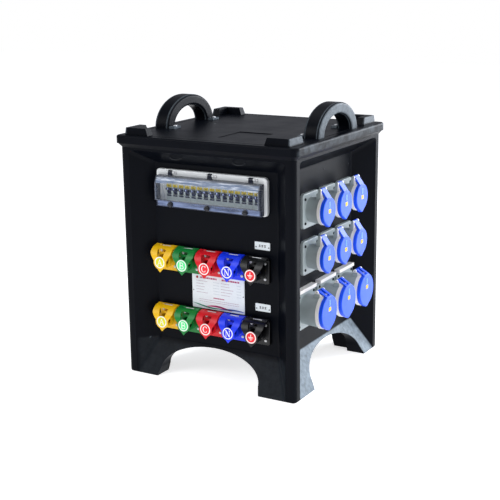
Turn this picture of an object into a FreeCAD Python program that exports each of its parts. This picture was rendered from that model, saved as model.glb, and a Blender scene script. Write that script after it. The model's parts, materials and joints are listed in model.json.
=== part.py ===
import FreeCAD, Part

import json
import math
import os

V = FreeCAD.Vector

# ---------------------------------------------------------------- driving dimensions (mm)

# Housing
HOUSING_W = 490.0          # across the front, post to post
HOUSING_D = 480.0          # front to back, post to post
HOUSING_H = 620.0          # floor to lid top
POST_R = 12.0              # rounding of the upright corners
LID_R = 16.0               # rounding of the lid's corners
EDGE_R = 5.0               # rounding of the lid's rim and of the soles
FLANK_R = 14.0             # rounding where two sloping flanks meet
PANEL_R = 6.0              # rounding round a panel
WALL = 8.0
POST_FLAT = 25.0           # flat of a corner post beside a dished face
DISH_DEPTH = 50.0
DISH_RUN = 45.0            # sideways run of the sloping flank
PANEL_BOTTOM = 93.0
PANEL_TOP_DROP = 70.0      # lid top down to the panel's top edge
DISH_TOP_DROP = 36.0       # lid top down to the dish's outer top edge
LID_OVERHANG = 10.0
LID_LIP = 20.0
LID_COVE = 10.0
LEG_INSIDE = 4.0           # how far the legs' inner faces stand outside the cavity
ARCH_HALF = 143.0          # half the arch's width on the floor
ARCH_RISE = 86.0
ARCH_SPRING = 22.0         # height where a foot turns from upright to curved
FOOT_FLARE = 7.0           # how much each foot narrows down to the floor
SIDE_ARCH_SHIFT = 15.0     # the side arches sit a little towards the back
GROOVE = 3.0               # lid groove, width
GROOVE_INSET = 22.0
PAD_ARM = 68.0
PAD_WIDTH = 23.0
PAD_HEIGHT = 18.0
PAD_SLOPE = 7.0
PAD_INSET_X = 24.0         # from the lid edge to a pad's outer face
PAD_INSET_Y = 14.0
LABEL_RECESS = (95.0, 107.0, 1.6)   # across, front to back, deep
LABEL_RECESS_X = 0.0       # its left edge
LABEL_RECESS_Y = -68.0     # its back edge
LEDGE = 12.0               # ledge inside the housing that carries the bottom plate
LEDGE_THICK = 8.0
PLATE_THICK = 4.0
PLATE_GAP = 1.0

# Handles
HANDLE_X = 215.0
HANDLE_WIDTH = 42.0
HANDLE_Y = 8.0             # middle of a handle, towards the back
HANDLE_SPAN = 222.0
HANDLE_RISE = 76.0
GRIP_SPAN = 150.0          # opening under the handle: length on the lid, and height
GRIP_HEIGHT = 48.0
HANDLE_ROUND = 7.0
TAB = (30.0, 18.0, 5.0)    # foot tab along Y, along X, thick

# Fasteners
M4_R = 2.0
M4_HEAD_R = 3.6
M4_HEAD_H = 2.4
M6_R = 3.0
M6_HEAD_R = 5.5
M6_HEAD_H = 3.3
SCREW_FIT = 0.05           # radial room round a screw
HOLE_OVERRUN = 1.0         # how much longer than its screw a hole is, at each end
PIN_R = 1.5
PIN_SNUG = 0.02            # radial room where a pin is held
PIN_RUN = 0.05             # radial room where something turns on it

# Breaker window
FRONT_X = -8.0             # middle of everything on the front
FRAME_W = 316.0
FRAME_H = 94.0
FRAME_Z = 489.0
FRAME_T = 10.0
FRAME_TOP = 15.0
FRAME_SIDE = 14.0
FRAME_BOTTOM = 13.0
MASK_T = 1.5               # sheet round the breakers' noses
COVER_W = 300.0
COVER_TOP_Z = 521.5
COVER_BOTTOM_Z = 444.0
COVER_DEPTH = 33.0         # panel to the cover's flat front
COVER_BEVEL_Z = 504.0
COVER_BEVEL_O = 24.0
COVER_RIM_Z = 461.0
COVER_RIM_O = 25.0
COVER_WALL = 2.5
COVER_GAP = 0.4
WINDOW_HINGE_Z = 529.0
WINDOW_HINGE_O = 9.0
KNUCKLE_W = 12.0
KNUCKLE_R = 4.0
WINDOW_HINGES = (-115.0, 0.0, 115.0)
LATCHES = (-107.0, 0.0, 107.0)
LATCH_Z = 451.0
LATCH_R = 7.0
LATCH_CAM = (3.4, 2.4)     # half its length and half its width

# Breakers
BREAKERS = 15
BREAKER_PITCH = 18.0
BREAKER_W = 17.6
BREAKER_Z = 479.0
NOSE_H = 45.0
NOSE_O = 2.0
SHOULDER_H = 84.0
SHOULDER_O = -16.0
BREAKER_BACK = -62.0
TOGGLE_W = 12.0
TOGGLE_R = 8.0
TOGGLE_O = -6.0
TOGGLE_REACH = 17.0
TOGGLE_REST = 26.0         # degrees above level when on
TOGGLE_ROOM = 0.3
RAIL_H = 35.0
RAIL_DEPTH = 7.5
RAIL_T = 1.5
STANDOFF = 12.0

# Single-pole connectors
CONNECTOR_PITCH = 65.3
CONNECTOR_ROWS = (307.5, 152.0)
CONNECTOR_COLOURS = ("yellow", "green", "red", "blue", "black")
FLANGE_W = 61.0
FLANGE_H = 64.0
FLANGE_T = 8.0
FLANGE_ROUND = 6.0
CONNECTOR_SCREWS = 39.0
BARREL_R = 21.0
BARREL_O = 31.0
BARREL_BORE = 15.0
SPIGOT_R = 18.0
SPIGOT_O = -22.0
CONTACT_R = 7.0
CONTACT_FLOOR = 3.0        # wall behind a contact
STUD_R = 1.9               # tail of a contact, through that wall to the copper bar
CONTACT_O = 20.0
BAR_W = 25.0
BAR_T = 5.0
BAR_OVERRUN = 14.0
VISOR_T = 3.0
VISOR_HINGE_O = 13.0
VISOR_HINGE_Z = 33.0
VISOR_EYE_R = 3.6
VISOR_HALF = 30.5
VISOR_DISC_R = 18.5
VISOR_FRONT_O = 48.0
VISOR_TIP = -28.0
VISOR_WINDOW = ((-13.5, 29.0), (13.5, 29.0), (8.0, 10.5), (-8.0, 10.5))
EAR_IN = 13.5
EAR_OUT = 19.5
EAR_GAP = 0.5

# Industrial sockets: flange width, height and thickness, screw spacing across and up, body radii,
# collar radius, collar start, front, bore radius, lid radius and thickness, tip drop, hinge outwards and up,
# half an arm's width
SOCKET_COLUMNS = (-1, 0, 1)
SOCKET_16 = dict(name="16a", rows=(443.0, 326.0), pitch=95.0, y=20.0,
                 w=84.0, h=86.0, t=8.0, sw=64.0, sh=60.0,
                 r0=31.0, r1=33.5, collar=35.5, collar_o=40.0, front=48.0, bore=26.0, carrier=17.0,
                 carrier_o=30.0, lid_r=34.0, lid_t=9.5, tip=39.0, hinge_o=38.0, hinge_z=51.0, arm=11.0,
                 split=0.0, pins=3, pin_circle=9.5, pin_r=2.6, spigot=27.0)
SOCKET_32 = dict(name="32a", rows=(197.0,), pitch=110.0, y=8.0, w=98.0, h=98.0, t=9.0, sw=78.0, sh=76.0,
                 r0=39.0, r1=41.5, collar=43.5, collar_o=54.0, front=63.0, bore=33.0, carrier=22.0,
                 carrier_o=40.0, lid_r=42.0, lid_t=9.5, tip=46.0, hinge_o=46.0, hinge_z=50.5, arm=14.0,
                 split=5.0, pins=5, pin_circle=14.0, pin_r=3.2, spigot=34.0)
SOCKET_ROUND = 8.0
SOCKET_SPIGOT_O = -24.0
SOCKET_BACK = 3.0          # closed back of a socket's body
LID_GAP = 0.6
LID_EYE_R = 4.5
LID_EAR_T = 4.0
LID_EAR_GAP = 0.5
LID_SKIN = 4.0
HINGE_BAR = (88.0, 9.0, 15.0)   # light bar over a 32 A flange: across, up, outwards

# Plates
NAMEPLATE = (152.0, 88.0, 1.2)
NAMEPLATE_X = 3.0
NAMEPLATE_Z = 231.0
LABEL = (42.0, 19.0, 1.5)
LABEL_X = 131.0
LABEL_ZS = (368.0, 213.0)

# Swings, in degrees from rest
WINDOW_SWING = 105
LATCH_TURN = 90
VISOR_SWING = 100
LID_SWING = 100
UNDER_LID_SWING = 72       # the middle row's lids stop short of the lids above them

# ---------------------------------------------------------------- worked-out sizes

HALF_W = HOUSING_W / 2
HALF_D = HOUSING_D / 2
FRONT_Y = -(HALF_D - DISH_DEPTH)
RIGHT_X = HALF_W - DISH_DEPTH
PANEL_HALF_W = HALF_W - POST_FLAT - DISH_RUN
PANEL_HALF_D = HALF_D - POST_FLAT - DISH_RUN
PANEL_TOP = HOUSING_H - PANEL_TOP_DROP
CAVITY_X = RIGHT_X - WALL
CAVITY_Y = -FRONT_Y - WALL
LEDGE_Z = PANEL_BOTTOM + PLATE_THICK
BREAKER_XS = [FRONT_X + (n - (BREAKERS - 1) / 2) * BREAKER_PITCH for n in range(BREAKERS)]
CONNECTOR_XS = [FRONT_X + (n - 2) * CONNECTOR_PITCH for n in range(5)]


def socket_reach(s):
    return RIGHT_X + s["front"] + LID_GAP + s["lid_t"]


# The row's origin is the middle of the whole object's footprint, and the lids reach furthest on the right.
ORIGIN_X = (max(socket_reach(SOCKET_16), socket_reach(SOCKET_32)) - HALF_W - LID_OVERHANG) / 2


# ---------------------------------------------------------------- helpers
# Everything on a dished face is made in that face's own frame: X across, Z up, outwards along -Y.

def box(x0, x1, y0, y1, z0, z1):
    return Part.makeBox(x1 - x0, y1 - y0, z1 - z0, V(x0, y0, z0))


def polygon(points):
    return Part.makePolygon([V(*p) for p in points] + [V(*points[0])])


def round_rect(half_x, half_y, r, z):
    """Rectangle with arc corners in a level plane."""
    edges = []
    for n, (sx, sy) in enumerate(((1, 1), (-1, 1), (-1, -1), (1, -1))):
        cx, cy, start = sx * (half_x - r), sy * (half_y - r), n * 90
        edges.append(Part.makeCircle(r, V(cx, cy, z), V(0, 0, 1), start, start + 90))
    corners = []
    for n, arc in enumerate(edges):
        after = edges[(n + 1) % 4]
        corners += [arc, Part.makeLine(arc.Vertexes[1].Point, after.Vertexes[0].Point)]
    return Part.Wire(corners)


def block(half_x, half_y, r, z0, z1):
    return Part.Face(round_rect(half_x, half_y, r, z0)).extrude(V(0, 0, z1 - z0))


def plate(w, h, r, o0, o1, x=0.0, z=0.0):
    """Rounded plate on a face, from o0 to o1 outwards."""
    flat = block(w / 2, h / 2, r, o0, o1)
    flat.rotate(V(), V(1, 0, 0), 90)
    flat.translate(V(x, 0, z))
    return flat


def rod(r, o0, o1, x=0.0, z=0.0):
    return Part.makeCylinder(r, o1 - o0, V(x, -o0, z), V(0, -1, 0))


def cone(r0, r1, o0, o1):
    return Part.makeCone(r0, r1, o1 - o0, V(0, -o0, 0), V(0, -1, 0))


def bar_x(r, x0, x1, o, z):
    return Part.makeCylinder(r, x1 - x0, V(x0, -o, z), V(1, 0, 0))


def slab(x0, x1, o0, o1, z0, z1):
    return box(x0, x1, -o1, -o0, z0, z1)


def side_profile(points, x0, x1):
    """Outline in outwards and up, carried across from x0 to x1."""
    face = Part.Face(polygon([(x0, -o, z) for o, z in points]))
    return face.extrude(V(x1 - x0, 0, 0))


def on_front(shape, x, z):
    out = shape.copy()
    out.translate(V(x, FRONT_Y, z))
    return out


def on_right(shape, y, z):
    out = shape.copy()
    out.rotate(V(), V(0, 0, 1), 90)
    out.translate(V(RIGHT_X, y, z))
    return out


def fuse(shapes):
    first = shapes[0]
    if len(shapes) == 1:
        return first
    return first.fuse(shapes[1:]).removeSplitter()


def four(shape_at, across, up):
    return [shape_at(sx * across / 2, sz * up / 2) for sx in (-1, 1) for sz in (-1, 1)]


# ---------------------------------------------------------------- housing

def dish(half_across, half_out, panel_half):
    """Hollow of the face that looks along -Y: a frustum from the face plane in to the flat panel."""
    y_in = -(half_out - DISH_DEPTH)
    outer_half = half_across - POST_FLAT
    top_outer = HOUSING_H - DISH_TOP_DROP
    grow = 1.25

    def stretched(inner, outer):
        return inner + (outer - inner) * grow

    inner = [(-panel_half, PANEL_BOTTOM), (panel_half, PANEL_BOTTOM),
             (panel_half, PANEL_TOP), (-panel_half, PANEL_TOP)]
    outer = [(-outer_half, 0.0), (outer_half, 0.0), (outer_half, top_outer), (-outer_half, top_outer)]
    far = [(stretched(a, c), stretched(b, d)) for (a, b), (c, d) in zip(inner, outer)]
    near_wire = polygon([(x, y_in, z) for x, z in inner])
    far_wire = polygon([(x, y_in - DISH_DEPTH * grow, z) for x, z in far])
    hollow = Part.makeLoft([near_wire, far_wire], True, True)
    slanted = [e for e in hollow.Edges if abs(e.Vertexes[0].Point.y - e.Vertexes[1].Point.y) > 1]
    hollow = hollow.makeFillet(FLANK_R, slanted)
    rim = [e for e in hollow.Edges if all(abs(v.Point.y - y_in) < 1e-3 for v in e.Vertexes)]
    return hollow.makeFillet(PANEL_R, rim)


def arch(half_out, shift):
    """Opening between two feet, for the face that looks along -Y, half an ellipse with upright foot ends."""
    h, rise, spring = ARCH_HALF, ARCH_RISE, ARCH_SPRING
    y0 = -half_out - 5
    left, right = V(shift - h, y0, spring), V(shift + h, y0, spring)
    curve = Part.Ellipse(right, V(shift, y0, rise), V(shift, y0, spring))
    top = Part.Arc(curve, 0, math.pi).toShape()
    a, b = top.Vertexes[0].Point, top.Vertexes[-1].Point
    low_b = V(b.x + math.copysign(FOOT_FLARE, b.x - shift), y0, -1)
    low_a = V(a.x + math.copysign(FOOT_FLARE, a.x - shift), y0, -1)
    if a.distanceToPoint(left) < b.distanceToPoint(left):
        a, b, low_a, low_b = b, a, low_b, low_a
    wire = Part.Wire(Part.__sortEdges__([top, Part.makeLine(b, low_b), Part.makeLine(low_b, low_a),
                                         Part.makeLine(low_a, a)]))
    return Part.Face(wire).extrude(V(0, half_out * 2 + 10, 0))


def post_core():
    """Hollow of one corner post, open to the inside and one wall clear of both flanks and the outside."""
    slope = DISH_DEPTH / DISH_RUN
    shift = WALL * math.hypot(1, slope) / slope
    panel_x, panel_y = PANEL_HALF_W, PANEL_HALF_D
    out_x, out_y = HALF_W - WALL, HALF_D - WALL

    def flank_a(y):      # front flank, moved one wall into the post
        return panel_x + (y - (HALF_D - DISH_DEPTH)) / slope + shift

    def flank_b(x):
        return panel_y + (x - (HALF_W - DISH_DEPTH)) / slope + shift

    cut = WALL
    points = [(CAVITY_X - 20, CAVITY_Y - 20), (flank_a(CAVITY_Y), CAVITY_Y), (flank_a(out_y), out_y),
              (out_x - cut, out_y), (out_x, out_y - cut), (out_x, flank_b(out_x)),
              (CAVITY_X, flank_b(CAVITY_X))]
    z0, z1 = LEDGE_Z + LEDGE_THICK, HOUSING_H - LID_LIP - LID_COVE
    return Part.Face(polygon([(x, y, z0) for x, y in points])).extrude(V(0, 0, z1 - z0))


def stacking_pad():
    """L-shaped pad of the corner at +X +Y, with sloping ends."""
    x1, y1 = HALF_W + LID_OVERHANG - PAD_INSET_X, HALF_D + LID_OVERHANG - PAD_INSET_Y
    x0, y0 = x1 - PAD_ARM, y1 - PAD_ARM
    low = [(x0, y1), (x1, y1), (x1, y0),
           (x1 - PAD_WIDTH, y0), (x1 - PAD_WIDTH, y1 - PAD_WIDTH), (x0, y1 - PAD_WIDTH)]
    s, e = PAD_SLOPE, 2.0
    high = [(x0 + s, y1 - e), (x1 - e, y1 - e), (x1 - e, y0 + s), (x1 - PAD_WIDTH + e, y0 + s),
            (x1 - PAD_WIDTH + e, y1 - PAD_WIDTH + e), (x0 + s, y1 - PAD_WIDTH + e)]
    z0, z1 = HOUSING_H - 1, HOUSING_H + PAD_HEIGHT
    rings = [polygon([(x, y, z) for x, y in ring]) for ring, z in ((low, z0), (high, z1))]
    return Part.makeLoft(rings, True, True)


def housing():
    lip_z = HOUSING_H - LID_LIP
    lid = block(HALF_W + LID_OVERHANG, HALF_D + LID_OVERHANG, LID_R, lip_z, HOUSING_H)
    upper_rim = [e for e in lid.Edges if all(abs(v.Point.z - HOUSING_H) < 1e-3 for v in e.Vertexes)]
    lid = lid.makeFillet(EDGE_R, upper_rim)
    out = LID_OVERHANG - 2
    cove = Part.makeLoft([round_rect(HALF_W, HALF_D, POST_R, lip_z - LID_COVE),
                          round_rect(HALF_W + out, HALF_D + out, LID_R - 2, lip_z)], True, True)
    body = fuse([block(HALF_W, HALF_D, POST_R, 0, lip_z), cove, lid])
    sole = [e for e in body.Edges if all(abs(v.Point.z) < 1e-3 for v in e.Vertexes)]
    body = body.makeFillet(EDGE_R, sole)

    cuts = []
    for turn in (0, 90, 180, 270):
        if turn % 180:
            hollow = dish(HALF_D, HALF_W, PANEL_HALF_D)
        else:
            hollow = dish(HALF_W, HALF_D, PANEL_HALF_W)
        hollow.rotate(V(), V(0, 0, 1), turn)
        cuts.append(hollow)
    side_arch = arch(HALF_W, SIDE_ARCH_SHIFT)
    side_arch.rotate(V(), V(0, 0, 1), 90)
    cuts += [arch(HALF_D, FRONT_X), side_arch]

    leg_x, leg_y = CAVITY_X + LEG_INSIDE, CAVITY_Y + LEG_INSIDE
    cuts.append(box(-leg_x, leg_x, -leg_y, leg_y, -1, PANEL_BOTTOM))
    cuts.append(box(-CAVITY_X, CAVITY_X, -CAVITY_Y, CAVITY_Y, PANEL_BOTTOM - 1, LEDGE_Z))
    cuts.append(box(-CAVITY_X + LEDGE, CAVITY_X - LEDGE, -CAVITY_Y + LEDGE, CAVITY_Y - LEDGE,
                    LEDGE_Z - 1, LEDGE_Z + LEDGE_THICK + 1))
    cuts.append(box(-CAVITY_X, CAVITY_X, -CAVITY_Y, CAVITY_Y, LEDGE_Z + LEDGE_THICK, HOUSING_H - WALL - 2))
    core = post_core()
    for sx in (1, -1):
        for sy in (1, -1):
            quarter = FreeCAD.Matrix()
            quarter.scale(V(sx, sy, 1))
            cuts.append(core.transformGeometry(quarter))

    gx, gy = HALF_W + LID_OVERHANG - GROOVE_INSET, HALF_D + LID_OVERHANG - GROOVE_INSET + 4
    groove = block(gx, gy, 20.0, HOUSING_H - 1.5, HOUSING_H + 1).cut(
        block(gx - GROOVE, gy - GROOVE, 17.0, HOUSING_H - 2, HOUSING_H + 2))
    cuts.append(groove)
    lw, ld, deep = LABEL_RECESS
    cuts.append(box(LABEL_RECESS_X, LABEL_RECESS_X + lw, LABEL_RECESS_Y - ld, LABEL_RECESS_Y,
                    HOUSING_H - deep, HOUSING_H + 1))

    body = body.cut(cuts)
    pads = []
    pad = stacking_pad()
    for sx in (1, -1):
        for sy in (1, -1):
            quarter = FreeCAD.Matrix()
            quarter.scale(V(sx, sy, 1))
            pads.append(pad.transformGeometry(quarter))
    body = body.fuse(pads)

    holes = [on_front(plate(FRAME_W - 2 * FRAME_SIDE, FRAME_H - FRAME_TOP - FRAME_BOTTOM, 3.0, -WALL - 5, 5),
                      FRONT_X, FRAME_Z)]
    for x in CONNECTOR_XS:
        for z in CONNECTOR_ROWS:
            holes.append(on_front(rod(SPIGOT_R + 0.5, -WALL - 5, 5), x, z))
    for s, y, z in sockets():
        holes.append(on_right(rod(s["spigot"] + 0.5, -WALL - 5, 5), y, z))
    holes += m4_screws(SCREW_FIT, heads=False)
    holes += m6_screws(SCREW_FIT, heads=False)
    return body.cut(holes)


def sockets():
    """Each socket's sizes with its place on the right face."""
    out = []
    for s in (SOCKET_16, SOCKET_32):
        for z in s["rows"]:
            for n in SOCKET_COLUMNS:
                out.append((s, s["y"] + n * s["pitch"], z))
    return out


def bottom_plate():
    x, y = CAVITY_X - PLATE_GAP, CAVITY_Y - PLATE_GAP
    sheet = block(x, y, 4.0, PANEL_BOTTOM, PANEL_BOTTOM + PLATE_THICK)
    return sheet.cut(m6_screws(SCREW_FIT, heads=False))


# ---------------------------------------------------------------- handles

def half_ellipse(span, rise, width, z0):
    """Upright half ellipse along Y, as a slab centred on x = 0."""
    curve = Part.Ellipse(V(0, span / 2, z0), V(0, 0, z0 + rise), V(0, 0, z0))
    arc = Part.Arc(curve, 0, math.pi).toShape()
    base = Part.makeLine(arc.Vertexes[-1].Point, arc.Vertexes[0].Point)
    solid = Part.Face(Part.Wire([arc, base])).extrude(V(width, 0, 0))
    solid.translate(V(-width / 2, 0, 0))
    return solid


def handle(side):
    """Arched grip along Y with an arched opening under it and a screwed tab at each foot."""
    z0 = HOUSING_H
    solid = half_ellipse(HANDLE_SPAN, HANDLE_RISE, HANDLE_WIDTH, z0)
    hole = half_ellipse(GRIP_SPAN, GRIP_HEIGHT, 2 * HANDLE_WIDTH, z0)
    solid = solid.cut(hole)
    long_edges = [e for e in solid.Edges
                  if abs(abs(e.Vertexes[0].Point.x) - HANDLE_WIDTH / 2) < 1e-3
                  and abs(e.Vertexes[0].Point.x - e.Vertexes[1].Point.x) < 1e-3
                  and e.CenterOfMass.z > z0 + 1]
    solid = solid.makeFillet(HANDLE_ROUND, long_edges)
    length, wide, thick = TAB
    tabs = []
    for sy in (-1, 1):
        y = sy * (HANDLE_SPAN + GRIP_SPAN) / 4
        tabs.append(box(-HANDLE_WIDTH / 2 - wide, 0, y - length / 2, y + length / 2, z0, z0 + thick))
    solid = fuse([solid] + tabs)
    if side < 0:
        solid.rotate(V(), V(0, 0, 1), 180)
    solid.translate(V(side * HANDLE_X, HANDLE_Y, 0))
    return solid.cut(m6_screws(SCREW_FIT, heads=False))


# ---------------------------------------------------------------- fasteners

def screw(r, head_r, head_h, length, at, down, heads, room):
    """Pan-head screw whose head rests at `at`; `down` points along the shank."""
    down = V(*down)
    if not heads:
        return Part.makeCylinder(r + room, length + 2 * HOLE_OVERRUN, at - down * HOLE_OVERRUN, down)
    shank = Part.makeCylinder(r, length, at, down)
    head = Part.makeCylinder(head_r, head_h, at - down * head_h, down)
    rim = [e for e in head.Edges if len(e.Vertexes) == 1 and (e.CenterOfMass - at).Length > head_h / 2]
    head = head.makeFillet(head_h * 0.6, rim)
    slot = Part.makeBox(head_r * 1.3, 0.9, head_h * 0.5, V(-head_r * 0.65, -0.45, 0))
    cross = slot.fuse(Part.makeBox(0.9, head_r * 1.3, head_h * 0.5, V(-0.45, -head_r * 0.65, 0)))
    cross.Placement = FreeCAD.Placement(at - down * head_h, FreeCAD.Rotation(V(0, 0, 1), down))
    return head.cut(cross).fuse(shank)


def m4(at, down, length, heads, room):
    return screw(M4_R, M4_HEAD_R, M4_HEAD_H, length, at, down, heads, room)


def m4_screws(room=0.0, heads=True):
    """Every small screw: connectors, sockets, window frame."""
    out = []
    depth = WALL + 4
    for x in CONNECTOR_XS:
        for z in CONNECTOR_ROWS:
            out += four(lambda dx, dz: m4(V(x + dx, FRONT_Y - FLANGE_T, z + dz), (0, 1, 0), depth,
                                          heads, room),
                        CONNECTOR_SCREWS, CONNECTOR_SCREWS)
    for s, y, z in sockets():
        out += four(lambda dy, dz: m4(V(RIGHT_X + s["t"], y + dy, z + dz), (-1, 0, 0), depth, heads, room),
                    s["sw"], s["sh"])
    top_z = FRAME_Z + FRAME_H / 2 - FRAME_TOP / 2
    for x in WINDOW_HINGES:
        at = V(FRONT_X + x + KNUCKLE_W + 4, FRONT_Y - FRAME_T, top_z)
        out.append(m4(at, (0, 1, 0), depth, heads, room))
    return out


def m6_screws(room=0.0, heads=True):
    """Handle screws from above and bottom-plate screws from below."""
    out = []
    for side in (-1, 1):
        for sy in (-1, 1):
            x = side * (HANDLE_X - HANDLE_WIDTH / 2 - TAB[1] / 2 - 1)
            y = HANDLE_Y + sy * (HANDLE_SPAN + GRIP_SPAN) / 4
            at = V(x, y, HOUSING_H + TAB[2])
            out.append(screw(M6_R, M6_HEAD_R, M6_HEAD_H, TAB[2] + 8, at, (0, 0, -1), heads, room))
    inset = LEDGE / 2
    xs, ys = CAVITY_X - inset, CAVITY_Y - inset
    spots = [(sx * xs, sy * ys * 0.6) for sx in (-1, 1) for sy in (-1, 1)]
    spots += [(sx * xs * 0.6, sy * ys) for sx in (-1, 1) for sy in (-1, 1)]
    for x, y in spots:
        at = V(x, y, PANEL_BOTTOM)
        out.append(screw(M6_R, M6_HEAD_R, M6_HEAD_H, PLATE_THICK + 6, at, (0, 0, 1), heads, room))
    return out


# ---------------------------------------------------------------- breaker window

def window_frame():
    """White ring with hinge lugs above, and a thin mask round the breakers' noses."""
    ring = plate(FRAME_W, FRAME_H, 9.0, 0, FRAME_T)
    front = [e for e in ring.Edges if all(abs(v.Point.y + FRAME_T) < 1e-3 for v in e.Vertexes)]
    ring = ring.makeFillet(2.5, front)
    opening_z = (FRAME_BOTTOM - FRAME_TOP) / 2
    ring = ring.cut(plate(FRAME_W - 2 * FRAME_SIDE, FRAME_H - FRAME_TOP - FRAME_BOTTOM, 3.0, -5, FRAME_T + 5,
                          z=opening_z))
    slot_x, slot_z = BREAKERS * BREAKER_PITCH / 2 + 0.5, NOSE_H / 2 + 0.4
    low = BREAKER_Z - FRAME_Z
    mask = plate(FRAME_W - 2 * FRAME_SIDE + 2, FRAME_H - FRAME_TOP - FRAME_BOTTOM + 2, 3.0, 0, MASK_T,
                 z=opening_z)
    mask = mask.cut(slab(-slot_x, slot_x, -1, MASK_T + 1, low - slot_z, low + slot_z))
    ring = ring.fuse(mask)
    hinge_z = WINDOW_HINGE_Z - FRAME_Z
    lugs, cuts = [], []
    for x in WINDOW_HINGES:
        half = KNUCKLE_W / 2 + 0.4
        for sx in (-1, 1):
            lo, hi = sorted((x + sx * half, x + sx * (half + 5)))
            lugs.append(bar_x(KNUCKLE_R, lo, hi, WINDOW_HINGE_O, hinge_z))
        low, high = FRAME_H / 2 - FRAME_TOP - 1, hinge_z + KNUCKLE_R + 1.5
        cuts.append(slab(x - half, x + half, 3.5, FRAME_T + 8, low, high))
        cuts.append(bar_x(PIN_R + PIN_SNUG, x - half - 6, x + half + 6, WINDOW_HINGE_O, hinge_z))
    ring = fuse([ring] + lugs).cut(cuts)
    ring = on_front(ring, FRONT_X, FRAME_Z)
    return ring.cut(m4_screws(SCREW_FIT, heads=False)[-3:])


def window_cover():
    """Clear moulded shell with a bevelled top, a flat front, a stepped lower rim and three hinge eyes."""
    back = FRAME_T + COVER_GAP
    t = COVER_WALL
    outer = [(back, COVER_TOP_Z), (COVER_BEVEL_O, COVER_TOP_Z), (COVER_DEPTH, COVER_BEVEL_Z),
             (COVER_DEPTH, COVER_RIM_Z), (COVER_RIM_O, COVER_RIM_Z - 2), (COVER_RIM_O, COVER_BOTTOM_Z),
             (back, COVER_BOTTOM_Z)]
    inner = [(back - 1, COVER_TOP_Z - t), (COVER_BEVEL_O - t * 0.5, COVER_TOP_Z - t),
             (COVER_DEPTH - t, COVER_BEVEL_Z - t * 0.5), (COVER_DEPTH - t, COVER_RIM_Z + t * 0.7),
             (COVER_RIM_O - t, COVER_RIM_Z - 2 + t * 0.7), (COVER_RIM_O - t, COVER_BOTTOM_Z + t),
             (back - 1, COVER_BOTTOM_Z + t)]
    half = COVER_W / 2
    shell = side_profile(outer, -half, half)
    ends = [e for e in shell.Edges
            if abs(abs(e.CenterOfMass.x) - half) < 1e-3 and -e.CenterOfMass.y > back + 0.5]
    shell = shell.makeFillet(1.5, ends)
    shell = shell.cut(side_profile(inner, -half + t, half - t))
    eyes, bores = [], []
    for x in WINDOW_HINGES:
        k = KNUCKLE_W / 2
        arm = [(WINDOW_HINGE_O, WINDOW_HINGE_Z + 2), (WINDOW_HINGE_O + 3.5, WINDOW_HINGE_Z + 2),
               (back + 4, COVER_TOP_Z - 1), (back + 0.2, COVER_TOP_Z - 1), (back + 0.2, COVER_TOP_Z + 3),
               (WINDOW_HINGE_O, COVER_TOP_Z + 5)]
        eyes.append(bar_x(KNUCKLE_R, x - k, x + k, WINDOW_HINGE_O, WINDOW_HINGE_Z))
        eyes.append(side_profile(arm, x - k, x + k))
        bores.append(bar_x(PIN_R + PIN_RUN, x - k - 1, x + k + 1, WINDOW_HINGE_O, WINDOW_HINGE_Z))
    for x in LATCHES:
        bores.append(rod(3.05, back, COVER_RIM_O + 2, x, LATCH_Z))
    return on_front(fuse([shell] + eyes).cut(bores), FRONT_X, 0)


def latch(x):
    """Quarter-turn knob with a grip bar in front and a small cam behind the rim."""
    front = COVER_RIM_O + 0.3
    knob = rod(LATCH_R, front, front + 3.5, x, LATCH_Z)
    grip = slab(x - 6, x + 6, front + 3, front + 7.5, LATCH_Z - 1.8, LATCH_Z + 1.8)
    shaft = rod(3.0, COVER_RIM_O - COVER_WALL - 3, front + 1, x, LATCH_Z)
    cam_o = COVER_RIM_O - COVER_WALL - 0.4
    long, wide = LATCH_CAM
    cam = slab(x - long, x + long, cam_o - 2, cam_o, LATCH_Z - wide, LATCH_Z + wide)
    return on_front(fuse([knob, grip, shaft, cam]), FRONT_X, 0)


# ---------------------------------------------------------------- breakers

def breaker_body():
    half = BREAKER_W / 2
    nose, shoulder = NOSE_H / 2, SHOULDER_H / 2
    outline = [(NOSE_O, -nose), (NOSE_O, nose), (SHOULDER_O, nose), (SHOULDER_O, shoulder),
               (BREAKER_BACK, shoulder), (BREAKER_BACK, -shoulder),
               (SHOULDER_O, -shoulder), (SHOULDER_O, -nose)]
    body = side_profile(outline, -half, half)
    slot = TOGGLE_W / 2 + TOGGLE_ROOM
    room = bar_x(TOGGLE_R + TOGGLE_ROOM, -slot, slot, TOGGLE_O, 0)
    mouth = slab(-slot, slot, TOGGLE_O, NOSE_O + 1, -TOGGLE_R - TOGGLE_ROOM, TOGGLE_R + TOGGLE_ROOM)
    axle = bar_x(PIN_R + PIN_RUN, -slot - 1.6, slot + 1.6, TOGGLE_O, 0)
    return body.cut([room, mouth, axle])


def toggle():
    """Drum on stub axles with a lever that stands out of the nose."""
    half = TOGGLE_W / 2
    drum = bar_x(TOGGLE_R, -half, half, TOGGLE_O, 0)
    axle = bar_x(PIN_R, -half - 1.6, half + 1.6, TOGGLE_O, 0)
    lever = slab(-half, half, 0, TOGGLE_REACH, -2.6, 2.6)
    tip = [e for e in lever.Edges if all(abs(v.Point.y + TOGGLE_REACH) < 1e-3 for v in e.Vertexes)
           and abs(e.Vertexes[0].Point.x - e.Vertexes[1].Point.x) > 1]
    lever = lever.makeFillet(1.6, tip)
    lever.rotate(V(), V(1, 0, 0), -TOGGLE_REST)
    lever.translate(V(0, -TOGGLE_O, 0))
    return fuse([drum, axle, lever])


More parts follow.
